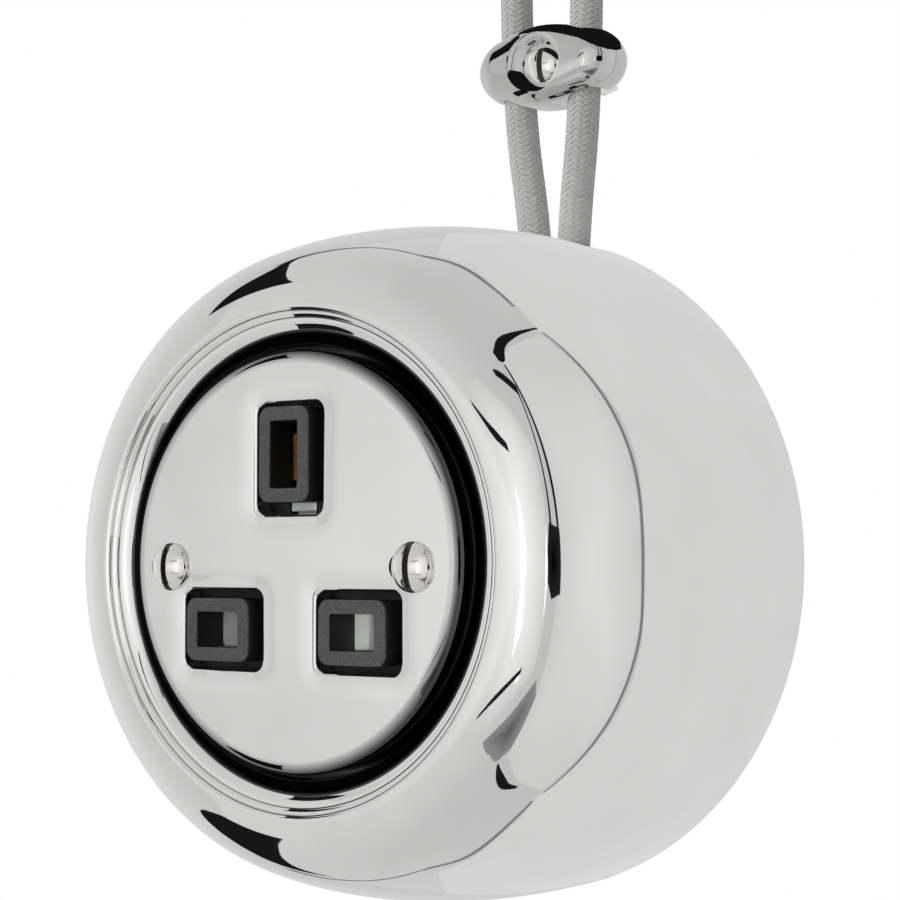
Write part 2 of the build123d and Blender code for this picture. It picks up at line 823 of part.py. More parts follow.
core_names = ["live_cores", "neutral_cores", "earth_cores"]
core_top = sleeve_top + core_length
core_places = []
for index, name in enumerate(core_names):
    turn = 2 * pi * index / len(core_names) + pi / 2
    offset_x = core_circle * cos(turn)
    offset_y = core_circle * sin(turn)
    places = [(x + offset_x, y + offset_y) for x, y in lane_places]
    core_places.extend(places)
    with BuildPart() as cores:
        with BuildSketch(Plane.XY.offset(sleeve_top)):
            with Locations(*places):
                Circle(core_radius)
        extrude(amount=core_length)
    save(cores, name)

with BuildPart() as core_ferrules:
    with BuildSketch(Plane.XY.offset(core_top)):
        with Locations(*core_places):
            Circle(ferrule_collar_radius)
    extrude(amount=ferrule_collar)
    with BuildSketch(Plane.XY.offset(core_top + ferrule_collar)):
        with Locations(*core_places):
            Circle(ferrule_radius)
    extrude(amount=ferrule_length)
save(core_ferrules, "core_ferrules")

# Cable clip: rounded porcelain saddle with two channels towards the wall and a countersunk bowl
channel_radius = cable_radius + clip_channel_fit
lobe_places = [(clip_x - clip_lobe_offset, clip_height), (clip_x + clip_lobe_offset, clip_height)]
with BuildPart() as cable_clip:
    with BuildSketch(at_depth(0)):
        with Locations((clip_x, clip_height)):
            Circle(clip_boss)
        with Locations(*lobe_places):
            Circle(clip_lobe)
        make_hull()
    extrude(amount=clip_depth)
    fillet(cable_clip.faces().sort_by(Axis.Y)[0].edges(), clip_front_round)
    fillet(cable_clip.faces().sort_by(Axis.Y)[-1].edges(), clip_back_round)
    with BuildSketch(Plane.XY.offset(clip_height)):
        with Locations((left_clip_x, 0), (right_clip_x, 0)):
            Rectangle(2 * channel_radius, cable_depth, align=(Align.CENTER, Align.MAX))
        with Locations((left_clip_x, -cable_depth), (right_clip_x, -cable_depth)):
            Circle(channel_radius)
    extrude(amount=clip_boss, both=True, mode=Mode.SUBTRACT)
    bowl_seat = clip_depth - bowl_depth
    with BuildSketch(section_at(clip_x, clip_height)):
        with BuildLine():
            bowl = TangentArc((bowl_seat_radius, bowl_seat), (bowl_radius, clip_depth), tangent=(1, 0.35))
            Polyline(bowl @ 1, (0, clip_depth), (0, bowl_seat), bowl @ 0)
        make_face()
    revolve(axis=axis_at(clip_x, clip_height), mode=Mode.SUBTRACT)
    with BuildSketch(at_depth(0)):
        with Locations((clip_x, clip_height)):
            Circle(clip_hole_radius)
    extrude(amount=clip_depth, mode=Mode.SUBTRACT)
save(cable_clip, "cable_clip")

# Clip screw: slotted dome head in the bowl, shank through the clip into the wall
wall_screw = dome_screw(
    clip_x,
    clip_height,
    bowl_seat,
    clip_head_radius,
    clip_head_rim,
    clip_head_height,
    clip_shank_radius,
    clip_shank_length,
    clip_point,
)
with BuildPart() as clip_screw:
    add(wall_screw)
save(clip_screw, "clip_screw")
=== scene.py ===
# A round porcelain mains socket with a mirror platinum lustre, fed by two braided cables that a clip
# holds to the wall above it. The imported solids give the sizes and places, this file the finished looks.
from math import atan2, copysign, cos, hypot, pi, radians, sin, sqrt

import bpy
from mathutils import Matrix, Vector


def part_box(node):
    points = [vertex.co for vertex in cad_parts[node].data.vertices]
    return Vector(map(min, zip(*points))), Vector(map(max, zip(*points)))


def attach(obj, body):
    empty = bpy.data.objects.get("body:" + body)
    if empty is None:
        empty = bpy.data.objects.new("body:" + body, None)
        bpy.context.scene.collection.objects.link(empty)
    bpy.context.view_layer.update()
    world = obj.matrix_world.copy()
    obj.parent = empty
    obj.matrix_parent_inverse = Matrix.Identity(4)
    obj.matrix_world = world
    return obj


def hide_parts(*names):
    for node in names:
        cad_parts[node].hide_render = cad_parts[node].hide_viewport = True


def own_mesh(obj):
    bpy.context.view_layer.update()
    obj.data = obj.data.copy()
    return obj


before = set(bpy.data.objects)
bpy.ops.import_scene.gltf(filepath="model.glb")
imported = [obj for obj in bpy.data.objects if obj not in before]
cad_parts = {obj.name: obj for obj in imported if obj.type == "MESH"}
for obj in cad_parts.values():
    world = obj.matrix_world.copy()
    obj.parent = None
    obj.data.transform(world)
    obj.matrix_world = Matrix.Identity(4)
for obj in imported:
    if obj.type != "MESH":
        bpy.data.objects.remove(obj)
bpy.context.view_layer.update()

# The studio camera stands to the right of the outlet, level with its axis, and looks slightly up.
# Its place, turn and lens were worked out from the drum's outline and the standard pin layout.
camera_place = (0.1803, -0.2583, 0.0)
camera_turn = 36.64
camera_tilt = 2.93
camera_lens = 87.1
bpy.ops.object.select_all(action="DESELECT")
bpy.ops.object.camera_add(
    location=camera_place,
    rotation=(radians(90 + camera_tilt), 0, radians(camera_turn)),
)
camera = bpy.context.object
camera.data.lens = camera_lens
camera.data.sensor_width = 36
camera.data.clip_start = 0.01
bpy.context.scene.camera = camera
bpy.context.scene.view_settings.view_transform = "Standard"

# The porcelain drum is slip-cast, fired white and brushed outside with platinum lustre, which comes
# out of the kiln as a mirror. Its open back stands on the wall and a notch lets the cables in.
MM = 0.001


def linear(hex_colour):
    """Linear colour of an sRGB hex value."""
    channels = [int(hex_colour[i:i + 2], 16) / 255 for i in (1, 3, 5)]
    return [c / 12.92 if c <= 0.04045 else ((c + 0.055) / 1.055) ** 2.4 for c in channels] + [1]


def add_node(tree, kind, settings=(), links=(), stops=()):
    """Add a node with its properties, input values, links from other nodes' outputs and colour stops."""
    node = tree.nodes.new(kind)
    for name, value in dict(settings).items():
        if isinstance(name, int) or name in node.inputs:
            node.inputs[name].default_value = value
        else:
            setattr(node, name, value)
    for name, socket in dict(links).items():
        tree.links.new(socket, node.inputs[name])
    for index, (position, hex_colour) in enumerate(stops):
        node.color_ramp.elements[index].position = position
        node.color_ramp.elements[index].color = linear(hex_colour)
    return node


def new_material(name, settings):
    """Start a material from one Principled shader with constant values."""
    material = bpy.data.materials.new(name)
    material.use_nodes = True
    shader = material.node_tree.nodes["Principled BSDF"]
    for socket, value in settings.items():
        shader.inputs[socket].default_value = value
    return material, material.node_tree, shader


def start_piece(name):
    """Name the object that the last operator added."""
    piece = bpy.context.object
    piece.name = name
    piece.data.name = name
    return piece


def deselect_all():
    """Leave edit mode with nothing selected, so that the next operator acts only on what it is given."""
    if bpy.context.mode != "OBJECT":
        bpy.ops.object.mode_set(mode="OBJECT")
    bpy.ops.object.select_all(action="DESELECT")


def pick(piece):
    """Make a piece the only one selected, and the active one."""
    deselect_all()
    piece.select_set(True)
    bpy.context.view_layer.objects.active = piece


def apply_place(piece):
    """Put a piece's place, turn and scale into its mesh."""
    pick(piece)
    bpy.ops.object.transform_apply(location=True, rotation=True, scale=True)


def block(name, size, middle):
    """Plain block of a size round its middle, a start for a cutter."""
    deselect_all()
    bpy.ops.mesh.primitive_cube_add(size=1)
    piece = start_piece(name)
    piece.scale = size
    piece.location = middle
    apply_place(piece)
    return piece


def turn_profile(name, points, steps, cyclic, centre=(0, 0)):
    """Spin a Bezier section, given as radius and depth with optional handles, round a line to the front."""
    deselect_all()
    bpy.ops.curve.primitive_bezier_curve_add()
    piece = start_piece(name)
    spline = piece.data.splines[0]
    spline.bezier_points.add(len(points) - 2)
    spline.use_cyclic_u = cyclic
    spline.resolution_u = 16
    for corner, (place, before, after) in zip(spline.bezier_points, points):
        corner.co = (place[0] * MM, -place[1] * MM, 0)
        for side, handle in (("left", before), ("right", after)):
            setattr(corner, f"handle_{side}_type", "FREE" if handle else "VECTOR")
        if before:
            corner.handle_left = (before[0] * MM, -before[1] * MM, 0)
        if after:
            corner.handle_right = (after[0] * MM, -after[1] * MM, 0)
    bpy.ops.object.convert(target="MESH")
    piece = bpy.context.object
    bpy.ops.object.mode_set(mode="EDIT")
    bpy.ops.mesh.select_all(action="SELECT")
    bpy.ops.mesh.spin(steps=steps, angle=2 * pi, center=(0, 0, 0), axis=(0, 1, 0))
    bpy.ops.mesh.select_all(action="SELECT")
    bpy.ops.mesh.remove_doubles(threshold=1e-7)
    bpy.ops.mesh.normals_make_consistent(inside=False)
    bpy.ops.object.mode_set(mode="OBJECT")
    piece.location = (centre[0] * MM, 0, centre[1] * MM)
    apply_place(piece)
    return piece


def cut(piece, cutter):
    """Take a cutter's shape out of a piece and remove the cutter."""
    pick(piece)
    saw = piece.modifiers.new("cut", "BOOLEAN")
    saw.operation = "DIFFERENCE"
    saw.solver = "EXACT"
    saw.object = cutter
    bpy.ops.object.modifier_apply(modifier=saw.name)
    bpy.data.objects.remove(cutter)


def smooth(piece, angle):
    """Shade a piece smooth, keeping edges sharper than an angle."""
    pick(piece)
    bpy.ops.object.shade_smooth_by_angle(angle=radians(angle))


def finish_piece(piece, body, slot, *nodes):
    """A finished piece rides on its body and stands for CAD nodes, which it hides; its slot is not used."""
    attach(piece, body)
    if nodes:
        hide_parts(*nodes)


drum_low, drum_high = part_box("porcelain_body")
drum_radius = drum_high.x / MM
drum_depth = -drum_low.y / MM
drum_wall = 5.5
drum_foot = 5.0
foot_round = 0.8
shoulder_radius = drum_radius - 5.4
shoulder_depth = drum_depth - 7.1
shoulder_lean = radians(19.5)
flank_pull = 12.0
brow_pull = 5.0
crest_pull = 4.8
crest_place = (32.4, drum_depth)
groove_place = (31.7, drum_depth - 0.6)
bead_place = (30.85, drum_depth - 1.1)
lip_place = (29.0, drum_depth - 2.3)
funnel_width = 1.7
funnel_fall = 1.9
funnel_sag = 0.25
profile_steps = 256
shelf_depth = 43.0
shelf_back = 38.0
shelf_radius = 23.2
throat_radius = lip_place[0] - funnel_width
throat_depth = lip_place[1] - funnel_fall
throat_place = (throat_radius, throat_depth)
cavity_radius = drum_radius - drum_wall
cavity_front = shoulder_radius - drum_wall
cavity_bend = 4.0
cavity_pull = 1.5
lean_x = sin(shoulder_lean)
lean_y = cos(shoulder_lean)


def beside(place, across, forward):
    """Handle of a section's point, a little beside it."""
    return place[0] + across, place[1] + forward


drum = turn_profile(
    "drum",
    [
        ((cavity_radius, 0), None, None),
        ((drum_radius - foot_round, 0), None, (drum_radius - foot_round / 2, 0)),
        ((drum_radius, foot_round), (drum_radius, foot_round / 2), None),
        ((drum_radius, drum_foot), None, (drum_radius, drum_foot + flank_pull)),
        (
            (shoulder_radius, shoulder_depth),
            (shoulder_radius + flank_pull * lean_x, shoulder_depth - flank_pull * lean_y),
            (shoulder_radius - brow_pull * lean_x, shoulder_depth + brow_pull * lean_y),
        ),
        (crest_place, beside(crest_place, crest_pull, 0), beside(crest_place, -0.4, 0)),
        (groove_place, beside(groove_place, 0.05, 0.25), beside(groove_place, -0.2, 0.2)),
        (bead_place, beside(bead_place, 0.05, 0.3), beside(bead_place, -0.5, 0.15)),
        (lip_place, beside(lip_place, 0.1, 0.7), beside(lip_place, -funnel_sag, -0.8)),
        (throat_place, beside(throat_place, 0.8, funnel_sag), None),
        ((throat_radius, shelf_depth), None, None),
        ((shelf_radius, shelf_depth), None, None),
        ((shelf_radius, shelf_back), None, None),
        ((cavity_front - cavity_bend, shelf_back), None, (cavity_front - cavity_pull, shelf_back)),
        (
            (cavity_front + 0.6, shelf_back - cavity_bend),
            (cavity_front + 0.2, shelf_back - cavity_pull),
            None,
        ),
        ((cavity_radius, drum_foot), None, None),
    ],
    profile_steps,
    True,
)
notch_low, notch_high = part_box("cable_bush")
notch_fit = 0.1 * MM
notch_height = 20 * MM
notch_sink = 4 * MM
notch_corner = 3 * MM
notch = block(
    "notch",
    (notch_high.x - notch_low.x + 2 * notch_fit, 2 * (notch_fit - notch_low.y), notch_height),
    ((notch_low.x + notch_high.x) / 2, 0, notch_low.z + notch_height / 2 - notch_sink),
)
corners = notch.modifiers.new("corners", "BEVEL")
corners.width = notch_corner
corners.segments = 6
corners.limit_method = "ANGLE"
bpy.ops.object.modifier_apply(modifier=corners.name)
cut(drum, notch)
smooth(drum, 35)

# Platinum lustre: a metal film fused to the glaze, so a near-perfect mirror that follows the slight
# waves of the hand-finished porcelain, with soft brush clouds where the film is thinner.
glaze_wave_mm = 14.0
brush_cloud_mm = 12.0
lustre_white = "#F0F0EF"
lustre_cloud = "#EAEAE9"


def platinum(name, full, cloud):
    """Lustre finish with the glaze's slow waves; also returns its tree, shader, coordinates and film."""
    material, tree, shader = new_material(name, {"Metallic": 1.0, "Roughness": 0.025})
    place = add_node(tree, "ShaderNodeTexCoord")
    clouds = add_node(
        tree,
        "ShaderNodeTexNoise",
        {"Scale": 1 / (brush_cloud_mm * MM), "Detail": 2.0, "Roughness": 0.5},
        {"Vector": place.outputs["Object"]},
    )
    stops = [(0.3, cloud), (0.7, full)]
    film = add_node(tree, "ShaderNodeValToRGB", {}, {"Fac": clouds.outputs["Fac"]}, stops)
    tree.links.new(film.outputs["Color"], shader.inputs["Base Color"])
    waves = add_node(
        tree,
        "ShaderNodeTexNoise",
        {"Scale": 1 / (glaze_wave_mm * MM), "Detail": 1.0, "Roughness": 0.4},
        {"Vector": place.outputs["Object"]},
    )
    relief = add_node(
        tree,
        "ShaderNodeBump",
        {"Strength": 0.25, "Distance": 0.15 * MM},
        {"Height": waves.outputs["Fac"]},
    )
    tree.links.new(relief.outputs["Normal"], shader.inputs["Normal"])
    return material, tree, shader, place, film


lustre = platinum("platinum_lustre_on_porcelain", lustre_white, lustre_cloud)[0]

# The cavity keeps bare white porcelain. In the recess, painted shade darkens the funnel to grey lustre
# and the throat and shelf below it to black.
bisque = new_material("bare_white_porcelain", {"Base Color": linear("#E9E6DF"), "Roughness": 0.45})[0]
painted_shade_glaze = new_material("black_glaze_painted_shade", {"Base Color": linear("#0B0B0B"), "Roughness": 0.15})[0]
painted_shade_lustre = new_material(
    "grey_lustre_painted_shade",
    {"Base Color": linear("#5E5E5E"), "Metallic": 1.0, "Roughness": 0.08},
)[0]
finishes = [lustre, bisque, painted_shade_glaze, painted_shade_lustre]
for finish in finishes:
    drum.data.materials.append(finish)
for face in drum.data.polygons:
    radius = hypot(face.center.x, face.center.z) / MM
    depth = -face.center.y / MM
    outward = (face.normal.x * face.center.x + face.normal.z * face.center.z) / (radius * MM)
    in_cavity = depth < shelf_depth - 0.2 and outward < 0.2 and radius < drum_radius - 2
    if depth < 0.01 or in_cavity:
        face.material_index = finishes.index(bisque)
    # Painted shade: the throat and shelf are coloured black, and the funnel above them grey, for the shade
    # deep in the recess.
    elif radius < throat_radius + 0.1 and depth < throat_depth:
        face.material_index = finishes.index(painted_shade_glaze)
    elif radius < lip_place[0] - 0.05 and depth < lip_place[1]:
        face.material_index = finishes.index(painted_shade_lustre)
finish_piece(drum, "socket", "platinum_lustre", "porcelain_body")

# The cover plate is a cast porcelain dish, lustred like the drum. Its three windows were cut by hand
# before firing, so their rims are soft, and two slotted holes take the fixing screws.
plate_low, plate_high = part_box("cover_plate")
plate_radius = plate_high.x / MM
plate_face = -plate_low.y / MM
plate_back = -plate_high.y / MM
plate_skin = 3.0
plate_skirt = 3.4
plate_edge = 1.5
edge_pull = 0.55 * plate_edge
plate_under = plate_face - plate_skin
plate_rings = 64
flat_radius = plate_radius - plate_edge
edge_foot = plate_face - plate_edge
plate = turn_profile(
    "plate",
    [
        *[((flat_radius * ring / plate_rings, plate_face), None, None) for ring in range(plate_rings)],
        ((flat_radius, plate_face), None, (flat_radius + edge_pull, plate_face)),
        ((plate_radius, edge_foot), (plate_radius, edge_foot + edge_pull), None),
        ((plate_radius, plate_back), None, None),
        ((plate_radius - plate_skirt, plate_back), None, None),
        ((plate_radius - plate_skirt, plate_under), None, None),
        ((0, plate_under), None, None),
    ],
    profile_steps,
    False,
)

# The front is crowned a little and sinks towards each window, where the wet clay was wiped round.
pin_half = 11.115
earth_z = 13.49
line_z = earth_z - 2 * pin_half
window_corner = 1.4
window_rows = [
    (0.0, earth_z - 0.5, 10.84, 14.24),
    (pin_half, line_z, 13.34, 10.24),
    (-pin_half, line_z, 13.34, 10.24),
]
crown = 0.25
sink = 0.3
sink_reach = 3.2


def outside_window(x, z, row):
    """Distance of a place on the plate from a window's rounded outline, in millimetres."""
    across = abs(x - row[0]) - row[2] / 2 + window_corner
    upward = abs(z - row[1]) - row[3] / 2 + window_corner
    return hypot(max(across, 0), max(upward, 0)) + min(max(across, upward), 0) - window_corner


def plate_fall(x, z):
    """How far the plate's front lies behind its highest place."""
    nearness = [max(0, 1 - max(outside_window(x, z, row), 0) / sink_reach) for row in window_rows]
    return crown * (x * x + z * z) / plate_radius ** 2 + sink * max(nearness) ** 2


for corner in plate.data.vertices:
    depth = -corner.co.y / MM
    if depth > plate_under + 0.5:
        fade = min(1, (depth - plate_back) / (plate_face - plate_back))
        corner.co.y += plate_fall(corner.co.x / MM, corner.co.z / MM) * fade * MM


def select_faces(piece, test):
    """In edit mode, select the faces whose centre and normal pass a test."""
    bpy.ops.object.mode_set(mode="OBJECT")
    for item in (*piece.data.vertices, *piece.data.edges):
        item.select = False
    for face in piece.data.polygons:
        face.select = test(face.center, face.normal)
    bpy.context.tool_settings.mesh_select_mode = (False, False, True)
    bpy.ops.object.mode_set(mode="EDIT")


def select_edges(piece, test):
    """In edit mode, select the edges whose two ends pass a test."""
    bpy.ops.object.mode_set(mode="OBJECT")
    for item in (*piece.data.vertices, *piece.data.polygons):
        item.select = False
    for edge in piece.data.edges:
        ends = [piece.data.vertices[i].co for i in edge.vertices]
        edge.select = test(*ends)
    bpy.context.tool_settings.mesh_select_mode = (False, True, False)
    bpy.ops.object.mode_set(mode="EDIT")


def prism(name, x, z, width, height, corner, front, back):
    """Rounded rectangular bar from one depth to another, in millimetres."""
    size = (width * MM, (front - back) * MM, height * MM)
    bar = block(name, size, (x * MM, -(front + back) / 2 * MM, z * MM))
    bpy.ops.object.mode_set(mode="EDIT")
    select_edges(bar, lambda a, b: abs(a.y - b.y) > (front - back) / 2 * MM)
    bpy.ops.mesh.bevel(offset=corner * MM, segments=8, profile=0.5)
    bpy.ops.object.mode_set(mode="OBJECT")
    return bar


saw_reach = 4.0


def flared_prism(name, x, z, width, height, corner, rim, flare, back):
    """Rounded bar whose front end opens out round its rim, which leaves a soft lip where it cuts."""
    bar = prism(name, x, z, width, height, corner, rim - flare, back)
    middle = (x * MM, -rim * MM, z * MM)
    lip_steps = 5
    spread, height_now = 0.0, rim - flare
    bpy.ops.object.mode_set(mode="EDIT")
    select_faces(bar, lambda centre, normal: normal.y < -0.9)
    for step in range(1, lip_steps + 2):
        turn = pi / 2 * min(step, lip_steps) / lip_steps
        wider = flare * (1 - cos(turn))
        higher = rim - flare + flare * sin(turn) if step <= lip_steps else rim + saw_reach
        forward = (0, -(higher - height_now) * MM, 0)
        bpy.ops.mesh.extrude_region_move(TRANSFORM_OT_translate={"value": forward})
        scale_x = (width + 2 * wider) / (width + 2 * spread)
        scale_z = (height + 2 * wider) / (height + 2 * spread)
        bpy.ops.transform.resize(value=(scale_x, 1, scale_z), center_override=middle)
        spread, height_now = wider, higher
    bpy.ops.object.mode_set(mode="OBJECT")
    return bar


window_lip = 0.4
for x, z, width, height in window_rows:
    rim = plate_face - plate_fall(x + width / 2, z)
    cut(plate, flared_prism("window", x, z, width, height, window_corner, rim, window_lip, plate_under - 1))

# Each fixing screw has a slotted hole, and its head beds on a shallow spot face.
screw_low, screw_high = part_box("plate_screws")
screw_z = (screw_low.z + screw_high.z) / 2 / MM
screw_x = 20.0
slot_shift = 0.9
slot_length = 5.7
slot_height = 3.6
slot_corner = slot_height * 0.499
spot_radius = 3.15
spot_round = 0.15
spot_drop = 0.35
spot_floor = plate_face - spot_drop
spot_bend = 0.4
above_plate = plate_face + 3
small_steps = 64
for side in (1, -1):
    slot_place = (side * screw_x - slot_shift, screw_z)
    slot_size = (slot_length, slot_height, slot_corner)
    cut(plate, prism("screw_hole", *slot_place, *slot_size, above_plate, plate_under - 1))
    spot = turn_profile(
        "spot_face",
        [
            ((0, spot_floor), None, None),
            ((spot_radius - spot_bend, spot_floor), None, (spot_radius, spot_floor)),
            ((spot_radius + spot_round, plate_face), (spot_radius + 0.05, plate_face), None),
            ((spot_radius + spot_round, above_plate), None, None),
            ((0, above_plate), None, None),
        ],
        small_steps,
        False,
        (side * screw_x, screw_z),
    )
    cut(plate, spot)
smooth(plate, 32)
weights = plate.modifiers.new("weights", "WEIGHTED_NORMAL")
weights.keep_sharp = True
bpy.ops.object.modifier_apply(modifier=weights.name)

# Painted shade: towards its rim the plate's lustre colour darkens to grey.
finish_name = "platinum_lustre_painted_shade_at_rim"
plate_lustre, tree, shader, place, film = platinum(finish_name, lustre_white, lustre_cloud)
flat = add_node(
    tree,
    "ShaderNodeVectorMath",
    {"operation": "MULTIPLY", 1: (1, 0, 1)},
    {0: place.outputs["Object"]},
)
reach = add_node(tree, "ShaderNodeVectorMath", {"operation": "LENGTH"}, {0: flat.outputs["Vector"]})
rim_shade_fade = add_node(
    tree,
    "ShaderNodeMapRange",
    {"From Min": (flat_radius - 0.2) * MM, "From Max": (plate_radius - 0.3) * MM},
    {"Value": reach.outputs["Value"]},
)
# Painted shade: the lustre's colour goes to dark grey towards the plate's rim.
rim_painted_shade = add_node(
    tree,
    "ShaderNodeMix",
    {"data_type": "RGBA", 7: linear("#525252")},
    {0: rim_shade_fade.outputs["Result"], 6: film.outputs["Color"]},
)
tree.links.new(rim_painted_shade.outputs[2], shader.inputs["Base Color"])
plate.data.materials.append(plate_lustre)
finish_piece(plate, "socket", "platinum_lustre", "cover_plate")

# The plate screws are slotted dome-head machine screws of nickel-plated steel. They go through the
# plate into the bridge's pillars. The heads are turned bright, with fine polishing marks, and the slots
# are left dull and coloured dark as painted shade.
screw_top = -screw_low.y / MM
screw_head = 3.1
screw_rim = 0.5
screw_height = 2.0
screw_shank = 1.7
screw_tip = -screw_high.y / MM
screw_slot = 0.9 * MM
slot_depth = 1.0
screw_soft = 0.08 * MM


def dome_screw(name, x, z, top, head, rim, height, shank, tip, point):
    """Slotted dome-head screw, pointing back to the wall."""
    seat = top - height
    screw = turn_profile(
        name,
        [
            ((0, top), None, (head * 0.55, top)),
            ((head, seat + rim), (head * 0.97, seat + rim + (height - rim) * 0.45), None),
            ((head, seat), None, None),
            ((shank, seat), None, None),
            ((shank, tip + point), None, None),
            ((shank / 4, tip), None, None),
            ((0, tip), None, None),
        ],
        small_steps,
        False,
        (x, z),
    )
    blade_size = (screw_slot, 2 * slot_depth * MM, 3 * head * MM)
    cut(screw, block("blade", blade_size, (x * MM, -top * MM, z * MM)))
    soften(screw, screw_soft, 2)
    screw.data.materials.append(nickel)
    screw.data.materials.append(slot_shadow)
    # The slot's walls and floor take the dark slot material, painted shade for the shadow in the slot.
    for face in screw.data.polygons:
        between_walls = abs(face.center.x - x * MM) < screw_slot / 2 + 1e-6
        if between_walls and (seat + rim) * MM < -face.center.y < (top - 0.1) * MM:
            face.material_index = 1
    return screw


def soften(piece, width, segments):
    """Round a piece's sharp edges a little, as moulding, turning or tumbling leaves them."""
    pick(piece)
    rounding = piece.modifiers.new("rounding", "BEVEL")
    rounding.width = width
    rounding.segments = segments
    rounding.limit_method = "ANGLE"
    rounding.angle_limit = radians(40)
    bpy.ops.object.modifier_apply(modifier=rounding.name)
    smooth(piece, 40)


nickel, tree, shader = new_material(
    "bright_nickel_plate",
    {"Base Color": linear("#EDEBE6"), "Metallic": 1.0, "Roughness": 0.07},
)
place = add_node(tree, "ShaderNodeTexCoord")
polish_mm = 0.6
polish = add_node(
    tree,
    "ShaderNodeTexNoise",
    {"Scale": 1 / (polish_mm * MM), "Detail": 3.0},
    {"Vector": place.outputs["Object"]},
)
relief = add_node(
    tree,
    "ShaderNodeBump",
    {"Strength": 0.08, "Distance": 0.05 * MM},
    {"Height": polish.outputs["Fac"]},
)
tree.links.new(relief.outputs["Normal"], shader.inputs["Normal"])
# Painted shade: the slot is coloured dark for the shadow inside it, and left dull.
slot_shadow = new_material(
    "dull_screw_slot_painted_shade",
    {"Base Color": linear("#3A3A39"), "Metallic": 0.6, "Roughness": 0.5},
)[0]
screw_point = screw_shank / 2
screw_size = (screw_top, screw_head, screw_rim, screw_height, screw_shank, screw_tip, screw_point)
for name, x in (("plate_screw_right", screw_x), ("plate_screw_left", -screw_x)):
    screw = dome_screw(name, x, screw_z, *screw_size)
    finish_piece(screw, "socket", "plated_screw", "plate_screws")

# The outlet is two black thermoset mouldings, a cap with three sleeves and a base with the contacts.
# Moulding leaves every edge slightly round and the faces satin. Plugs rub the cap's front down to its
# grey filler speckle, and deeper in the colour goes to near black as painted shade.


def dressed(node, name, slot, material, width, segments=2):
    """Copy a CAD node's mesh, merge it, round its edges and let the copy stand for the node."""
    piece = bpy.data.objects.new(name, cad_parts[node].data.copy())
    bpy.context.scene.collection.objects.link(piece)
    piece.data.materials.clear()
    piece.data.materials.append(material)
    pick(piece)
    bpy.ops.object.mode_set(mode="EDIT")
    bpy.ops.mesh.select_all(action="SELECT")
    bpy.ops.mesh.remove_doubles(threshold=1e-6)
    bpy.ops.mesh.dissolve_limited(angle_limit=radians(1))
    bpy.ops.object.mode_set(mode="OBJECT")
    soften(piece, width, segments)
    finish_piece(piece, "shutter" if node == "shutter" else "socket", slot, node)
    return piece


thermoset, tree, shader = new_material(
    "black_thermoset_moulding",
    {"Roughness": 0.45, "IOR": 1.55, "Specular IOR Level": 0.25},
)
place = add_node(tree, "ShaderNodeTexCoord")
filler_mm = 0.22
filler = add_node(
    tree,
    "ShaderNodeTexNoise",
    {"Scale": 1 / (filler_mm * MM), "Detail": 4.0, "Roughness": 0.65},
    {"Vector": place.outputs["Object"]},
)
stops = [(0.38, "#333333"), (0.72, "#565656")]
speckle = add_node(tree, "ShaderNodeValToRGB", {}, {"Fac": filler.outputs["Fac"]}, stops)
cap_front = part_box("socket_front")[0].y
axes = add_node(tree, "ShaderNodeSeparateXYZ", {}, {"Vector": place.outputs["Object"]})
# Painted shade: deeper than this behind the cap's front, the moulding's colour goes to near black for the
# shade in the sleeves and windows.
painted_shade_depth = 0.35 * MM
painted_shade_fade = add_node(
    tree,
    "ShaderNodeMapRange",
    {"From Min": cap_front + painted_shade_depth, "From Max": cap_front + painted_shade_depth / 2},
    {"Value": axes.outputs["Y"]},
)
painted_shade_mix = add_node(
    tree,
    "ShaderNodeMix",
    {"data_type": "RGBA", 6: linear("#0C0C0C")},
    {0: painted_shade_fade.outputs["Result"], 7: speckle.outputs["Color"]},
)
tree.links.new(painted_shade_mix.outputs[2], shader.inputs["Base Color"])
relief = add_node(
    tree,
    "ShaderNodeBump",
    {"Strength": 0.2, "Distance": 0.03 * MM},
    {"Height": filler.outputs["Fac"]},
)
tree.links.new(relief.outputs["Normal"], shader.inputs["Normal"])
dressed("socket_front", "outlet_cap", "black_moulding", thermoset, 0.22 * MM, 3)
dressed("socket_base", "outlet_base", "black_moulding", thermoset, 0.25 * MM)

# The shutter is a pale grey nylon slide behind the cap, moulded satin and a little milky. A small coil
# spring of drawn steel wire keeps it up.
nylon, tree, shader = new_material(
    "pale_grey_nylon",
    {"Roughness": 0.4, "Subsurface Weight": 0.05, "Subsurface Radius": (0.001, 0.001, 0.001)},
)
place = add_node(tree, "ShaderNodeTexCoord")
flow_mm = 1.5
flow = add_node(
    tree,
    "ShaderNodeTexNoise",
    {"Scale": 1 / (flow_mm * MM), "Detail": 2.0},
    {"Vector": place.outputs["Object"]},
)
stops = [(0.0, "#E6E6E4"), (1.0, "#F0F0EE")]
tone = add_node(tree, "ShaderNodeValToRGB", {}, {"Fac": flow.outputs["Fac"]}, stops)
tree.links.new(tone.outputs["Color"], shader.inputs["Base Color"])
dressed("shutter", "shutter_slide", "grey_moulding", nylon, 0.12 * MM)


def metal(name, base, worn, roughness, grain_mm, bare=1.0):
    """Bare, plated or lightly tarnished metal with a fine mottle in its tone."""
    material, tree, shader = new_material(name, {"Metallic": bare, "Roughness": roughness})
    place = add_node(tree, "ShaderNodeTexCoord")
    grain = add_node(
        tree,
        "ShaderNodeTexNoise",
        {"Scale": 1 / (grain_mm * MM), "Detail": 3.0},
        {"Vector": place.outputs["Object"]},
    )
    stops = [(0.3, worn), (0.7, base)]
    tone = add_node(tree, "ShaderNodeValToRGB", {}, {"Fac": grain.outputs["Fac"]}, stops)
    tree.links.new(tone.outputs["Color"], shader.inputs["Base Color"])
    return material


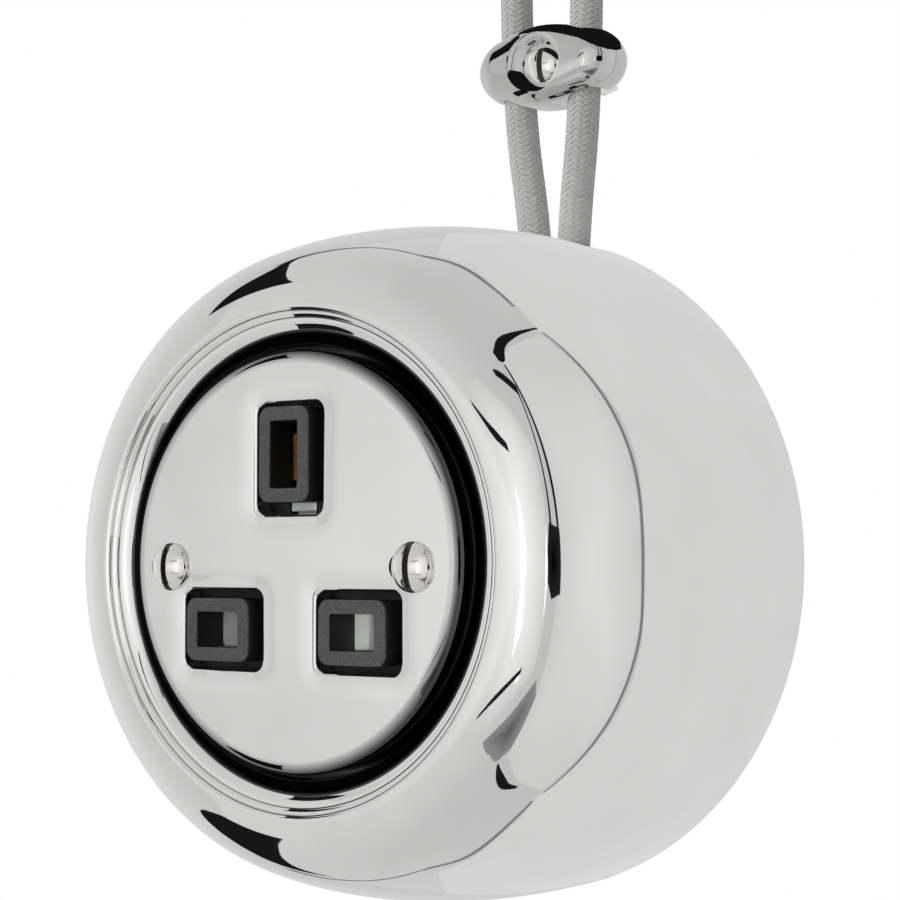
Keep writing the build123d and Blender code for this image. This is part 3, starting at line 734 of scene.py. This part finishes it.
spring_wire = metal("drawn_spring_steel", "#B9B9B9", "#8E8E8E", 0.3, 0.3)
spring = dressed("shutter_spring", "coil_spring", "spring_steel", spring_wire, 0.02 * MM)
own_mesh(spring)

# Contacts, terminals and pillars are brass: the contacts are folded from strip, the others cut or turned
# from bar. Bare and a little tarnished, it is a satin yellow with a soft brown mottle.
brass = metal("pressed_brass", "#E0B04C", "#B98A35", 0.35, 1.2, 0.5)
for node in ("earth_contact", "live_contact", "neutral_contact"):
    dressed(node, node.replace("contact", "clip_leaves"), "brass", brass, 0.08 * MM)
for node in ("earth_terminal", "live_terminal", "neutral_terminal"):
    dressed(node, node.replace("terminal", "wire_block"), "brass", brass, 0.2 * MM)
dressed("bridge_pillars", "pillars", "brass", brass, 0.15 * MM)

# The bridge is folded from zinc-plated steel strip and screwed to the wall. The outlet's own screws
# and the terminals' pinch screws are plated the same way, a bluish grey with a faint spangle.
zinc = metal("zinc_plated_steel", "#C3C6C9", "#A3A7AB", 0.33, 2.5)
dressed("mounting_bridge", "bridge", "zinc_steel", zinc, 0.2 * MM)
dressed("socket_screws", "outlet_screws", "zinc_steel", zinc, 0.12 * MM)
dressed("terminal_screws", "pinch_screws", "zinc_steel", zinc, 0.08 * MM)

# The cable bush is a moulded rubber block that is pushed into the drum's notch and grips both cables.
# Its black is dull, with a fine grit from the mould.
rubber, tree, shader = new_material("black_rubber", {"Base Color": linear("#1B1B1B"), "Roughness": 0.6})
place = add_node(tree, "ShaderNodeTexCoord")
rubber_grit_mm = 0.3
grit = add_node(
    tree,
    "ShaderNodeTexNoise",
    {"Scale": 1 / (rubber_grit_mm * MM), "Detail": 3.0},
    {"Vector": place.outputs["Object"]},
)
relief = add_node(
    tree,
    "ShaderNodeBump",
    {"Strength": 0.3, "Distance": 0.05 * MM},
    {"Height": grit.outputs["Fac"]},
)
tree.links.new(relief.outputs["Normal"], shader.inputs["Normal"])
dressed("cable_bush", "bush", "bush_rubber", rubber, 0.25 * MM)

# The two cables are round flex covered in a grey cotton braid of twelve yarns each way, two over and
# two under. They leave the drum side by side, spread to the clip and go on straight up the wall.
cable_radius = 2.35 * MM
cable_depth = 5.0 * MM
cable_start = 33.0 * MM
cable_entry = 43.0 * MM
cable_bend = 66.5 * MM
cable_top = 86.0 * MM
cable_lanes = [
    ("cable_left", 7.6 * MM, 3.8 * MM),
    ("cable_right", 13.1 * MM, 15.8 * MM),
]
yarns_each_way = 12
yarn_rise = 0.8 * MM
yarn_width = 0.36 * MM
yarn_thickness = 0.15 * MM
yarn_swing = 0.07 * MM
yarn_lead = yarns_each_way * yarn_rise
steps_per_lead = 96
yarn_corners = 6

yarn, tree, shader = new_material(
    "grey_cotton_braid",
    {"Roughness": 0.85, "Sheen Weight": 0.25, "Sheen Roughness": 0.5},
)
place = add_node(tree, "ShaderNodeTexCoord")
# Single cotton fibres are too fine to show, so they are drawn in bundles.
fibre_mm = 0.12
fibre = add_node(
    tree,
    "ShaderNodeTexNoise",
    {"Scale": 1 / (fibre_mm * MM), "Detail": 3.0},
    {"Vector": place.outputs["Object"]},
)
stops = [(0.25, "#A2A2A1"), (0.75, "#C8C8C6")]
tone = add_node(tree, "ShaderNodeValToRGB", {}, {"Fac": fibre.outputs["Fac"]}, stops)
tree.links.new(tone.outputs["Color"], shader.inputs["Base Color"])
relief = add_node(
    tree,
    "ShaderNodeBump",
    {"Strength": 0.4, "Distance": 0.03 * MM},
    {"Height": fibre.outputs["Fac"]},
)
tree.links.new(relief.outputs["Normal"], shader.inputs["Normal"])
sheath = new_material("dark_grey_flex_sheath", {"Base Color": linear("#4A4A49"), "Roughness": 0.8})[0]


def route_curve(name, points):
    """Open NURBS curve with a cable's route points as its control points."""
    curve = bpy.data.curves.new(name, "CURVE")
    curve.dimensions = "3D"
    spline = curve.splines.new("NURBS")
    spline.points.add(len(points) - 1)
    for point, where in zip(spline.points, points):
        point.co = (*where, 1)
    spline.order_u = 3
    spline.use_endpoint_u = True
    spline.resolution_u = 40
    return curve


def line_points(curve):
    """Points along a curve that has no bevel, in order."""
    holder = bpy.data.objects.new("line", curve)
    mesh = bpy.data.meshes.new_from_object(holder)
    points = [v.co.copy() for v in mesh.vertices]
    bpy.data.objects.remove(holder)
    bpy.data.meshes.remove(mesh)
    return points


def at_length(points, reach):
    """Point and direction at a distance along a list of points."""
    for a, b in zip(points, points[1:]):
        step = (b - a).length
        if reach <= step or b is points[-1]:
            return a + (b - a) * (reach / step), (b - a).normalized()
        reach -= step


for node, entry_x, lane_x in cable_lanes:
    points = [
        (entry_x, -cable_depth, cable_start),
        (entry_x, -cable_depth, cable_entry),
        (lane_x, -cable_depth, cable_bend),
        (lane_x, -cable_depth, cable_top),
    ]
    curve = route_curve(node + "_route", points)
    line = line_points(curve)
    length = sum((b - a).length for a, b in zip(line, line[1:]))
    curve.bevel_depth = cable_radius - yarn_swing - 1.5 * yarn_thickness
    curve.bevel_resolution = 6
    curve.use_fill_caps = True
    flex = bpy.data.objects.new(node + "_flex", curve)
    bpy.context.scene.collection.objects.link(flex)
    flex.data.materials.append(sheath)
    count = int(length / yarn_lead * steps_per_lead)
    braid_radius = cable_radius - yarn_swing - yarn_thickness
    strand_rows = []
    for way in (1, -1):
        for index in range(yarns_each_way):
            row = []
            for step in range(count + 1):
                reach = length * step / count
                centre, along = at_length(line, reach)
                side = along.cross(Vector((0, 1, 0))).normalized()
                front = side.cross(along).normalized()
                turn = way * 2 * pi * reach / yarn_lead + 2 * pi * index / yarns_each_way
                crossing = 2 * index + way * 2 * yarns_each_way * reach / yarn_lead
                lift = braid_radius + yarn_swing * way * cos(pi / 2 * (crossing - 0.5))
                out = side * cos(turn) + front * sin(turn)
                row.append((centre + out * lift, out))
            strand_rows.append(row)
    verts = []
    faces = []
    for row in strand_rows:
        base = len(verts)
        for step, (where, out) in enumerate(row):
            ahead = row[min(step + 1, len(row) - 1)][0] - row[max(step - 1, 0)][0]
            flat = ahead.cross(out).normalized()
            for corner in range(yarn_corners):
                turn = 2 * pi * corner / yarn_corners
                verts.append(where + flat * (yarn_width * cos(turn)) + out * (yarn_thickness * sin(turn)))
        for step in range(len(row) - 1):
            for corner in range(yarn_corners):
                a = base + step * yarn_corners + corner
                b = base + step * yarn_corners + (corner + 1) % yarn_corners
                faces.append((a, b, b + yarn_corners, a + yarn_corners))
        faces.append(tuple(base + corner for corner in reversed(range(yarn_corners))))
        last = base + (len(row) - 1) * yarn_corners
        faces.append(tuple(last + corner for corner in range(yarn_corners)))
    mesh = bpy.data.meshes.new(node + "_braid")
    mesh.from_pydata(verts, [], faces)
    weave = bpy.data.objects.new(node + "_braid", mesh)
    bpy.context.scene.collection.objects.link(weave)
    weave.data.materials.append(yarn)
    pick(weave)
    bpy.ops.object.mode_set(mode="EDIT")
    bpy.ops.mesh.select_all(action="SELECT")
    bpy.ops.mesh.normals_make_consistent(inside=False)
    bpy.ops.object.mode_set(mode="OBJECT")
    bpy.ops.object.shade_smooth()
    # Cables and clip stay out of the drum's mirror, which shows the tent alone.
    flex.visible_glossy = False
    weave.visible_glossy = False
    finish_piece(flex, "socket", "grey_braid", node)
    finish_piece(weave, "socket", "grey_braid")

# Above the clip each cable is stripped. A black shrink sleeve closes the braid, and three cores in
# smooth brown, blue and striped insulation end in crimped ferrules of tinned copper.
shrink = new_material("black_shrink_sleeve", {"Base Color": linear("#1E1E1E"), "Roughness": 0.35})[0]
brown = new_material("brown_insulation", {"Base Color": linear("#5B3620"), "Roughness": 0.4})[0]
blue = new_material("blue_insulation", {"Base Color": linear("#2A63B4"), "Roughness": 0.4})[0]
striped, tree, shader = new_material("green_and_yellow_insulation", {"Roughness": 0.4})
place = add_node(tree, "ShaderNodeTexCoord")
stripe_mm = 0.75
bands = add_node(
    tree,
    "ShaderNodeTexWave",
    {"Scale": 2 * pi / (20 * 2 * stripe_mm * MM), "bands_direction": "X"},
    {"Vector": place.outputs["Object"]},
)
stops = [(0.0, "#2E7D32"), (0.5, "#E3C21C")]
stripes = add_node(tree, "ShaderNodeValToRGB", {}, {"Fac": bands.outputs["Fac"]}, stops)
stripes.color_ramp.interpolation = "CONSTANT"
tree.links.new(stripes.outputs["Color"], shader.inputs["Base Color"])
tin = metal("tinned_copper", "#D5D5D2", "#B5B5B2", 0.3, 0.5)
ends = [
    dressed("end_sleeves", "shrink_sleeves", "shrink_sleeve", shrink, 0.1 * MM),
    dressed("live_cores", "brown_cores", "live_insulation", brown, 0.05 * MM),
    dressed("neutral_cores", "blue_cores", "neutral_insulation", blue, 0.05 * MM),
    dressed("earth_cores", "striped_cores", "earth_insulation", striped, 0.05 * MM),
    dressed("core_ferrules", "ferrules", "tinned_copper", tin, 0.05 * MM),
]
for piece in ends:
    piece.visible_glossy = False

# Inside the drum each cable's three cores run behind the outlet to the terminals, where crimped
# ferrules of tinned copper are held by the pinch screws.
dressed("live_leads", "brown_leads", "live_insulation", brown, 0.05 * MM)
dressed("neutral_leads", "blue_leads", "neutral_insulation", blue, 0.05 * MM)
dressed("earth_leads", "striped_leads", "earth_insulation", striped, 0.05 * MM)
dressed("lead_ferrules", "lead_tips", "tinned_copper", tin, 0.05 * MM)

# The cable clip is a small porcelain saddle with two channels for the cables and a bowl for its wall
# screw. It is pressed in a mould, so its ends and boss swell softly. Its lustre colour is set greyer than
# the drum's as painted shade, which darkens its reflections.
clip_low, clip_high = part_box("cable_clip")
clip_x = (clip_low.x + clip_high.x) / 2 / MM
clip_z = (clip_low.z + clip_high.z) / 2 / MM
clip_half = (clip_high.x - clip_low.x) / 2 / MM
clip_depth = -clip_low.y / MM
clip_boss = (clip_high.z - clip_low.z) / 2 / MM
clip_lobe = 4.2
clip_lobe_depth = 9.4
clip_middle = 4.6
boss_reach = 11.5
boss_square = 1.6
end_ease = 3.0
deselect_all()
bpy.ops.mesh.primitive_uv_sphere_add(segments=128, ring_count=96, radius=1, rotation=(0, pi / 2, 0))
clip = start_piece("clip")
apply_place(clip)
for corner in clip.data.vertices:
    along = corner.co.x * clip_half
    turn = atan2(corner.co.z, -corner.co.y)
    swell = cos(pi / 2 * min(1, abs(along) / boss_reach)) ** 2
    end = max(0, (abs(along) - clip_half + clip_lobe) / clip_lobe)
    round_off = sqrt(max(0, 1 - end * end))
    past_channel = min(1, max(0, (abs(along) - clip_half + clip_lobe + end_ease / 2) / end_ease))
    squareness = 2 / (2 + boss_square * swell) if cos(turn) > 0 else 0.5 + 0.5 * past_channel
    rise = copysign(abs(sin(turn)) ** squareness, sin(turn))
    reach = abs(cos(turn)) ** squareness
    height = (clip_lobe + (clip_boss - clip_lobe) * swell) * round_off
    front = (clip_lobe_depth + (clip_depth - clip_lobe_depth) * swell - clip_middle) * round_off
    depth = clip_middle + (front if cos(turn) > 0 else -clip_middle * round_off) * reach
    corner.co = ((clip_x + along) * MM, -depth * MM, (clip_z + height * rise) * MM)
channel_fit = 0.4
channel_radius = cable_radius / MM + channel_fit
channel_length = 8 * clip_boss
mouth_corner = 0.1
behind_wall = -2
cable_middle = cable_depth / MM
for *_, lane_x in cable_lanes:
    deselect_all()
    bpy.ops.mesh.primitive_cylinder_add(
        vertices=small_steps,
        radius=channel_radius * MM,
        depth=channel_length * MM,
        location=(lane_x, -cable_depth, clip_z * MM),
    )
    channel = start_piece("channel")
    apply_place(channel)
    cut(clip, channel)
    mouth_size = (2 * channel_radius, channel_length, mouth_corner)
    cut(clip, prism("mouth", lane_x / MM, clip_z, *mouth_size, cable_middle, behind_wall))
bowl_radius = 4.35
bowl_rim = 0.7
bowl_seat = 2.6
bowl_depth = 3.4
clip_hole = 1.8
seat_depth = clip_depth - bowl_depth
above_clip = clip_depth + 2
brim = clip_depth + 0.05
bowl_steps = 96
bowl = turn_profile(
    "bowl",
    [
        ((0, above_clip), None, None),
        ((bowl_radius + bowl_rim, above_clip), None, None),
        ((bowl_radius + bowl_rim, brim), None, (bowl_radius + bowl_rim / 2, brim)),
        (
            (bowl_radius - 0.15, clip_depth - bowl_rim),
            (bowl_radius, clip_depth - bowl_rim / 2),
            (bowl_radius - 0.4, clip_depth - 2),
        ),
        ((bowl_seat, seat_depth), (bowl_seat + 1.1, seat_depth + 0.2), None),
        ((clip_hole, seat_depth), None, None),
        ((clip_hole, behind_wall), None, None),
        ((0, behind_wall), None, None),
    ],
    bowl_steps,
    False,
    (clip_x, clip_z),
)
cut(clip, bowl)
smooth(clip, 50)
clip.visible_glossy = False
# Painted shade: the clip's lustre colour is set greyer than the drum's, to darken its reflections.
clip.data.materials.append(platinum("platinum_lustre_on_clip_painted_shade", "#CFCFCE", "#C9C9C8")[0])
finish_piece(clip, "socket", "platinum_lustre", "cable_clip")

# The clip's wall screw is a pointed steel screw whose slotted dome head, bright nickel like the plate's
# screws, seats in the bowl. Its shank goes on into the wall.
wall_low, wall_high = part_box("clip_screw")
wall_screw_head = 2.5
wall_screw_rim = 0.4
wall_screw_height = 1.6
wall_screw_shank = 1.6
wall_screw_point = 3.0
clip_screw = dome_screw(
    "wall_screw",
    clip_x,
    clip_z,
    -wall_low.y / MM,
    wall_screw_head,
    wall_screw_rim,
    wall_screw_height,
    wall_screw_shank,
    -wall_high.y / MM,
    wall_screw_point,
)
clip_screw.visible_glossy = False
finish_piece(clip_screw, "socket", "plated_screw", "clip_screw")

# The studio is a white light tent around the socket, seen white by the camera. Its grey cloth, brighter
# panels and dark seams show only in the mirror finishes, as in any polished thing shot in a tent.
tent_light = 0.30


def empty_tree(holder):
    """Node tree of a world or material, cleared to be wired by hand."""
    holder.use_nodes = True
    holder.node_tree.nodes.clear()
    return holder.node_tree


world = bpy.data.worlds.new("white_light_tent")
bpy.context.scene.world = world
tree = empty_tree(world)
cloth = add_node(tree, "ShaderNodeBackground", {"Color": (1, 1, 1, 1), "Strength": tent_light})
white = add_node(tree, "ShaderNodeBackground", {"Color": (1, 1, 1, 1), "Strength": 1.0})
rays = add_node(tree, "ShaderNodeLightPath")
mirrored = add_node(
    tree,
    "ShaderNodeMath",
    {"operation": "MAXIMUM"},
    {0: rays.outputs["Is Glossy Ray"], 1: rays.outputs["Is Transmission Ray"]},
)
seen = add_node(
    tree,
    "ShaderNodeMath",
    {"operation": "MAXIMUM"},
    {0: rays.outputs["Is Camera Ray"], 1: mirrored.outputs["Value"]},
)
mix = add_node(
    tree,
    "ShaderNodeMixShader",
    {},
    {0: seen.outputs["Value"], 1: cloth.outputs["Background"], 2: white.outputs["Background"]},
)
add_node(tree, "ShaderNodeOutputWorld", {}, {"Surface": mix.outputs["Shader"]})


def direction(turn, rise):
    """Unit vector towards a place in the tent: turn right from the socket's front, and rise, in degrees."""
    level = cos(radians(rise))
    return Vector((sin(radians(turn)) * level, -cos(radians(turn)) * level, sin(radians(rise))))


def show_in_mirrors_only(thing, material):
    """A tent fitting that only reflections show."""
    thing.data.materials.append(material)
    thing.visible_camera = False
    thing.visible_diffuse = False
    thing.visible_transmission = False
    thing.visible_shadow = False


def fan(name, places, middle):
    """Cloth stretched from a middle place to the places round its rim."""
    deselect_all()
    bpy.ops.mesh.primitive_circle_add(vertices=len(places), fill_type="TRIFAN")
    cloth = start_piece(name)
    rim = 0
    for corner in cloth.data.vertices:
        at_rim = corner.co.length > 0.5
        corner.co = places[rim] if at_rim else middle
        rim += at_rim
    return cloth


# A black flag hangs over the clip. Its cloth shows only in mirrors nearer than a limit, so it darkens the
# top of the clip and is too far off to show in the drum.
clip_centre = Vector((clip_x * MM, -cable_depth, clip_z * MM))
flag_distance = 75 * MM
flag_limit = 80 * MM
flag_shade = 0.01
flag_outline = [
    (-40, 58), (-70, 52), (-95, 48), (-120, 40), (-140, 26), (-165, 24), (170, 30),
    (150, 26), (120, 24), (90, 26), (60, 34), (35, 44), (0, 54),
]
flag_cloth = bpy.data.materials.new("black_flag_cloth")
tree = empty_tree(flag_cloth)
rays = add_node(tree, "ShaderNodeLightPath")
near = add_node(
    tree,
    "ShaderNodeMath",
    {"operation": "LESS_THAN", 1: flag_limit},
    {0: rays.outputs["Ray Length"]},
)
dark = add_node(
    tree,
    "ShaderNodeEmission",
    {"Color": (flag_shade, flag_shade, flag_shade, 1), "Strength": 1.0},
)
clear = add_node(tree, "ShaderNodeBsdfTransparent")
mix = add_node(
    tree,
    "ShaderNodeMixShader",
    {},
    {0: near.outputs["Value"], 1: clear.outputs["BSDF"], 2: dark.outputs["Emission"]},
)
add_node(tree, "ShaderNodeOutputMaterial", {}, {"Surface": mix.outputs["Shader"]})
flag_places = [clip_centre + direction(*corner) * flag_distance for corner in flag_outline]
black_flag = fan("black_flag", flag_places, clip_centre + Vector((0, 0, flag_distance)))
show_in_mirrors_only(black_flag, flag_cloth)

# The tent's own cloth is grey, a little darker to the right and towards roof and floor. Panels, lamps and
# the camera's dark front hang before it, each with an outline of turns and rises.
tent_radius = 1.6
tent_slack = 0.4
tent_glow = 0.70
right_fall = 0.10
roof_fall = 0.12
panel_glow = bpy.data.materials.new("tent_cloth_glow")
tree = empty_tree(panel_glow)
tint = add_node(tree, "ShaderNodeAttribute", {"attribute_name": "glow"})
lamp = add_node(tree, "ShaderNodeEmission", {"Strength": 1.0}, {"Color": tint.outputs["Color"]})
add_node(tree, "ShaderNodeOutputMaterial", {}, {"Surface": lamp.outputs["Emission"]})


def glowing(cloth):
    """Start a cloth's colour attribute, which its glow is read from."""
    return cloth.data.color_attributes.new("glow", "FLOAT_COLOR", "POINT").data


deselect_all()
bpy.ops.mesh.primitive_uv_sphere_add(segments=48, ring_count=24, radius=tent_radius + tent_slack)
tent = start_piece("tent")
for stitch, corner in zip(glowing(tent), tent.data.vertices):
    way = corner.co.normalized()
    shade = tent_glow * (1 - right_fall * way.x - roof_fall * abs(way.z))
    stitch.color = (shade, shade, shade, 1)
show_in_mirrors_only(tent, panel_glow)
# Each row: name, how far inside the tent's radius, glow in the middle and at the rim, outline.
panels = [
    ("left_panel", 0.0, 0.88, 0.63, [
        (-160, 0), (-150, 30), (-125, 46), (-95, 46), (-72, 40), (-55, 27), (-44, 10),
        (-42, 0), (-44, -10), (-55, -27), (-72, -40), (-95, -45), (-125, -44), (-150, -30),
    ]),
    ("front_panel", 0.05, 1.15, 0.70, [
        (-48, 0), (-40, 12), (-20, 14), (0, 30), (30, 36), (48, 30),
        (52, 0), (48, -28), (30, -30), (0, -26), (-20, -14), (-40, -12),
    ]),
    ("softbox", 0.1, 1.7, 1.3, [
        (2, 10), (14, 28), (34, 30), (46, 20), (50, 0), (46, -22), (30, -26), (10, -22), (0, -8),
    ]),
    ("right_panel", 0.0, 0.84, 0.70, [
        (66, 0), (66, 40), (62, 58), (90, 64), (125, 62), (146, 57), (132, 42), (122, 20),
        (119, 0), (122, -20), (132, -42), (146, -57), (125, -62), (90, -62), (62, -56), (66, -40),
    ]),
    ("back_panel", -0.1, 0.74, 0.74, [
        (150, 58), (180, 60), (-150, 50), (-140, 0), (-150, -50), (180, -60),
        (150, -58), (134, -42), (122, -15), (119, 0), (122, 15), (134, 42),
    ]),
    ("low_lamp", 0.1, 1.6, 1.25, [
        (-140, -8), (-132, -3), (-118, -6), (-100, -14), (-88, -24),
        (-92, -32), (-108, -36), (-124, -34), (-136, -24),
    ]),
    ("high_lamp", 0.1, 1.5, 1.1, [(-136, 12), (-126, 24), (-114, 22), (-118, 13), (-128, 8)]),
    ("dark_foot", 0.15, 0.12, 0.30, [
        (5, -32), (32, -36), (58, -32), (66, -38), (62, -54), (46, -56), (26, -47),
    ]),
    ("camera_front", 0.3, 0.0, 0.02, [(49, 3), (54, 10), (70, 9), (71, -9), (58, -10), (50, -5)]),
]
for name, inside, centre_glow, rim_glow, outline in panels:
    distance = tent_radius - inside
    places = [direction(*corner) * distance for corner in outline]
    middle = sum(places, Vector()).normalized() * distance
    cloth = fan(name, places, middle)
    for stitch, corner in zip(glowing(cloth), cloth.data.vertices):
        shade = centre_glow if (corner.co - middle).length < 1e-6 else rim_glow
        stitch.color = (shade, shade, shade, 1)
    show_in_mirrors_only(cloth, panel_glow)

# Where cloths meet, the tent has dark seams and softer folds, hung as rods of changing width. Mirrors
# show them as the fine dark lines that run along the drum's shoulder and sides.


def seam_shadow(name, shade):
    """Shaded gap in the tent's cloth, as dark as the shade says."""
    gap = bpy.data.materials.new(name)
    tree = empty_tree(gap)
    lamp = add_node(tree, "ShaderNodeEmission", {"Color": (shade, shade, shade, 1), "Strength": 1.0})
    add_node(tree, "ShaderNodeOutputMaterial", {}, {"Surface": lamp.outputs["Emission"]})
    return gap


dark_gap = seam_shadow("tent_seam_shadow", 0.01)
half_gap = seam_shadow("tent_fold_shadow", 0.22)


seam_radius = 1.4
edge_radius = 1.45
# Each row: name, distance, shadow, and stops given as turn, rise and width in degrees.
seams = [
    ("left_panel_top", seam_radius, dark_gap, [
        (-118, 47, 0.2), (-92, 48, 2.0), (-76, 45, 6.0), (-64, 37, 12.0), (-52, 27, 13.0),
    ]),
    ("left_panel_foot", seam_radius, dark_gap, [
        (-120, -50, 0.5), (-102, -48, 4.0), (-84, -44, 10.0),
        (-70, -37, 15.0), (-58, -30, 14.0), (-48, -23, 8.0),
    ]),
    ("front_top", seam_radius, dark_gap, [(-20, 13, 0.8), (-12, 14, 2.0), (-4, 16, 2.2), (6, 18, 1.6)]),
    ("front_foot", seam_radius, dark_gap, [
        (-16, -15, 0.6), (-8, -17, 1.2), (4, -20, 1.6), (26, -23, 1.4),
    ]),
    ("tent_gap_left", seam_radius, dark_gap, [(57, 9, 3.0), (58, 30, 1.4), (60, 48, 1.6)]),
    ("tent_gap_right", seam_radius, dark_gap, [
        (68, 9, 3.0), (68, 24, 3.5), (67, 40, 2.5), (63, 58, 2.0),
    ]),
    ("roof_flap", seam_radius, dark_gap, [(32, 48, 2.0), (44, 51, 5.0), (62, 49, 4.0)]),
    ("roof_edge", seam_radius, dark_gap, [
        (54, 60, 3.0), (64, 61, 6.0), (82, 66, 4.0), (108, 67, 3.0), (130, 64, 2.0), (150, 58, 0.5),
    ]),
    ("floor_edge", seam_radius, dark_gap, [
        (52, -58, 1.0), (70, -64, 3.0), (94, -67, 3.5), (112, -67, 2.5), (130, -63, 1.0),
    ]),
    ("wall_edge_top", edge_radius, half_gap, [
        (-92, 46, 2.0), (-111, 49, 3.0), (-125, 48, 2.4), (-137, 47, 1.8), (-147, 52, 1.3),
        (-155, 54, 1.0), (-163, 57, 0.8), (-174, 60, 0.8), (-183, 61, 0.7), (-195, 61, 0.6),
    ]),
    ("wall_edge_foot", edge_radius, half_gap, [
        (-109, -45, 2.4), (-119, -45, 2.4), (-128, -45, 2.2), (-136, -46, 1.8), (-142, -50, 1.4),
        (-149, -54, 1.1), (-159, -56, 0.9), (-169, -59, 0.8), (-182, -61, 0.8), (-198, -61, 0.7),
        (-208, -59, 0.6),
    ]),
    ("backdrop_edge", seam_radius, half_gap, [
        (148, 57, 0.4), (135, 46, 0.7), (124, 26, 0.7), (118, 0, 0.8),
        (124, -26, 0.7), (135, -46, 0.7), (148, -57, 0.4),
    ]),
]
for name, distance, shadow, stops in seams:
    curve = bpy.data.curves.new(name, "CURVE")
    curve.dimensions = "3D"
    curve.bevel_depth = 1.0
    curve.bevel_resolution = 3
    spline = curve.splines.new("NURBS")
    spline.points.add(len(stops) - 1)
    for point, (turn, rise, width) in zip(spline.points, stops):
        point.co = (*(direction(turn, rise) * distance), 1)
        point.radius = distance * radians(width) / 2
    spline.order_u = 3
    spline.use_endpoint_u = True
    rod = bpy.data.objects.new(name, curve)
    bpy.context.scene.collection.objects.link(rod)
    show_in_mirrors_only(rod, shadow)

# Two soft lamps shape what isn't a mirror: the stronger one left of the socket, the other on its right.
# A third, small and narrow, reaches through the slots to the shutter.


def soft_lamp(name, turn, rise, distance, size, power, spread=180):
    """Square area lamp that faces the socket and shows in no mirror."""
    deselect_all()
    bpy.ops.object.light_add(type="AREA", location=direction(turn, rise) * distance)
    lamp = bpy.context.object
    lamp.name = name
    lamp.data.size = size
    lamp.data.energy = power
    lamp.data.spread = radians(spread)
    lamp.rotation_euler = (-direction(turn, rise)).to_track_quat("-Z", "Y").to_euler()
    lamp.visible_glossy = False
    lamp.visible_camera = False


soft_lamp("left_lamp", -38, 28, 1.2, 0.6, 10.0)
soft_lamp("right_lamp", 38, 6, 1.2, 0.4, 2.0)
soft_lamp("slot_lamp", 42, -2, 0.6, 0.06, 0.009, 9)

# The floor is matt white studio paper, well below the socket. The camera sees it as plain white, and it
# stays out of the mirrors, which show the tent.
floor_drop = 0.6
floor_size = 6.0
deselect_all()
bpy.ops.mesh.primitive_plane_add(size=floor_size, location=(0, 0, -floor_drop))
floor = start_piece("studio_floor")
paper, tree, shader = new_material(
    "white_studio_paper",
    {"Base Color": linear("#F4F4F4"), "Roughness": 0.9},
)
rays = add_node(tree, "ShaderNodeLightPath")
glow = add_node(tree, "ShaderNodeEmission", {"Color": (1, 1, 1, 1), "Strength": 1.0})
mix = add_node(
    tree,
    "ShaderNodeMixShader",
    {},
    {0: rays.outputs["Is Camera Ray"], 1: shader.outputs["BSDF"], 2: glow.outputs["Emission"]},
)
tree.links.new(mix.outputs["Shader"], tree.nodes["Material Output"].inputs["Surface"])
floor.data.materials.append(paper)
floor.visible_glossy = False
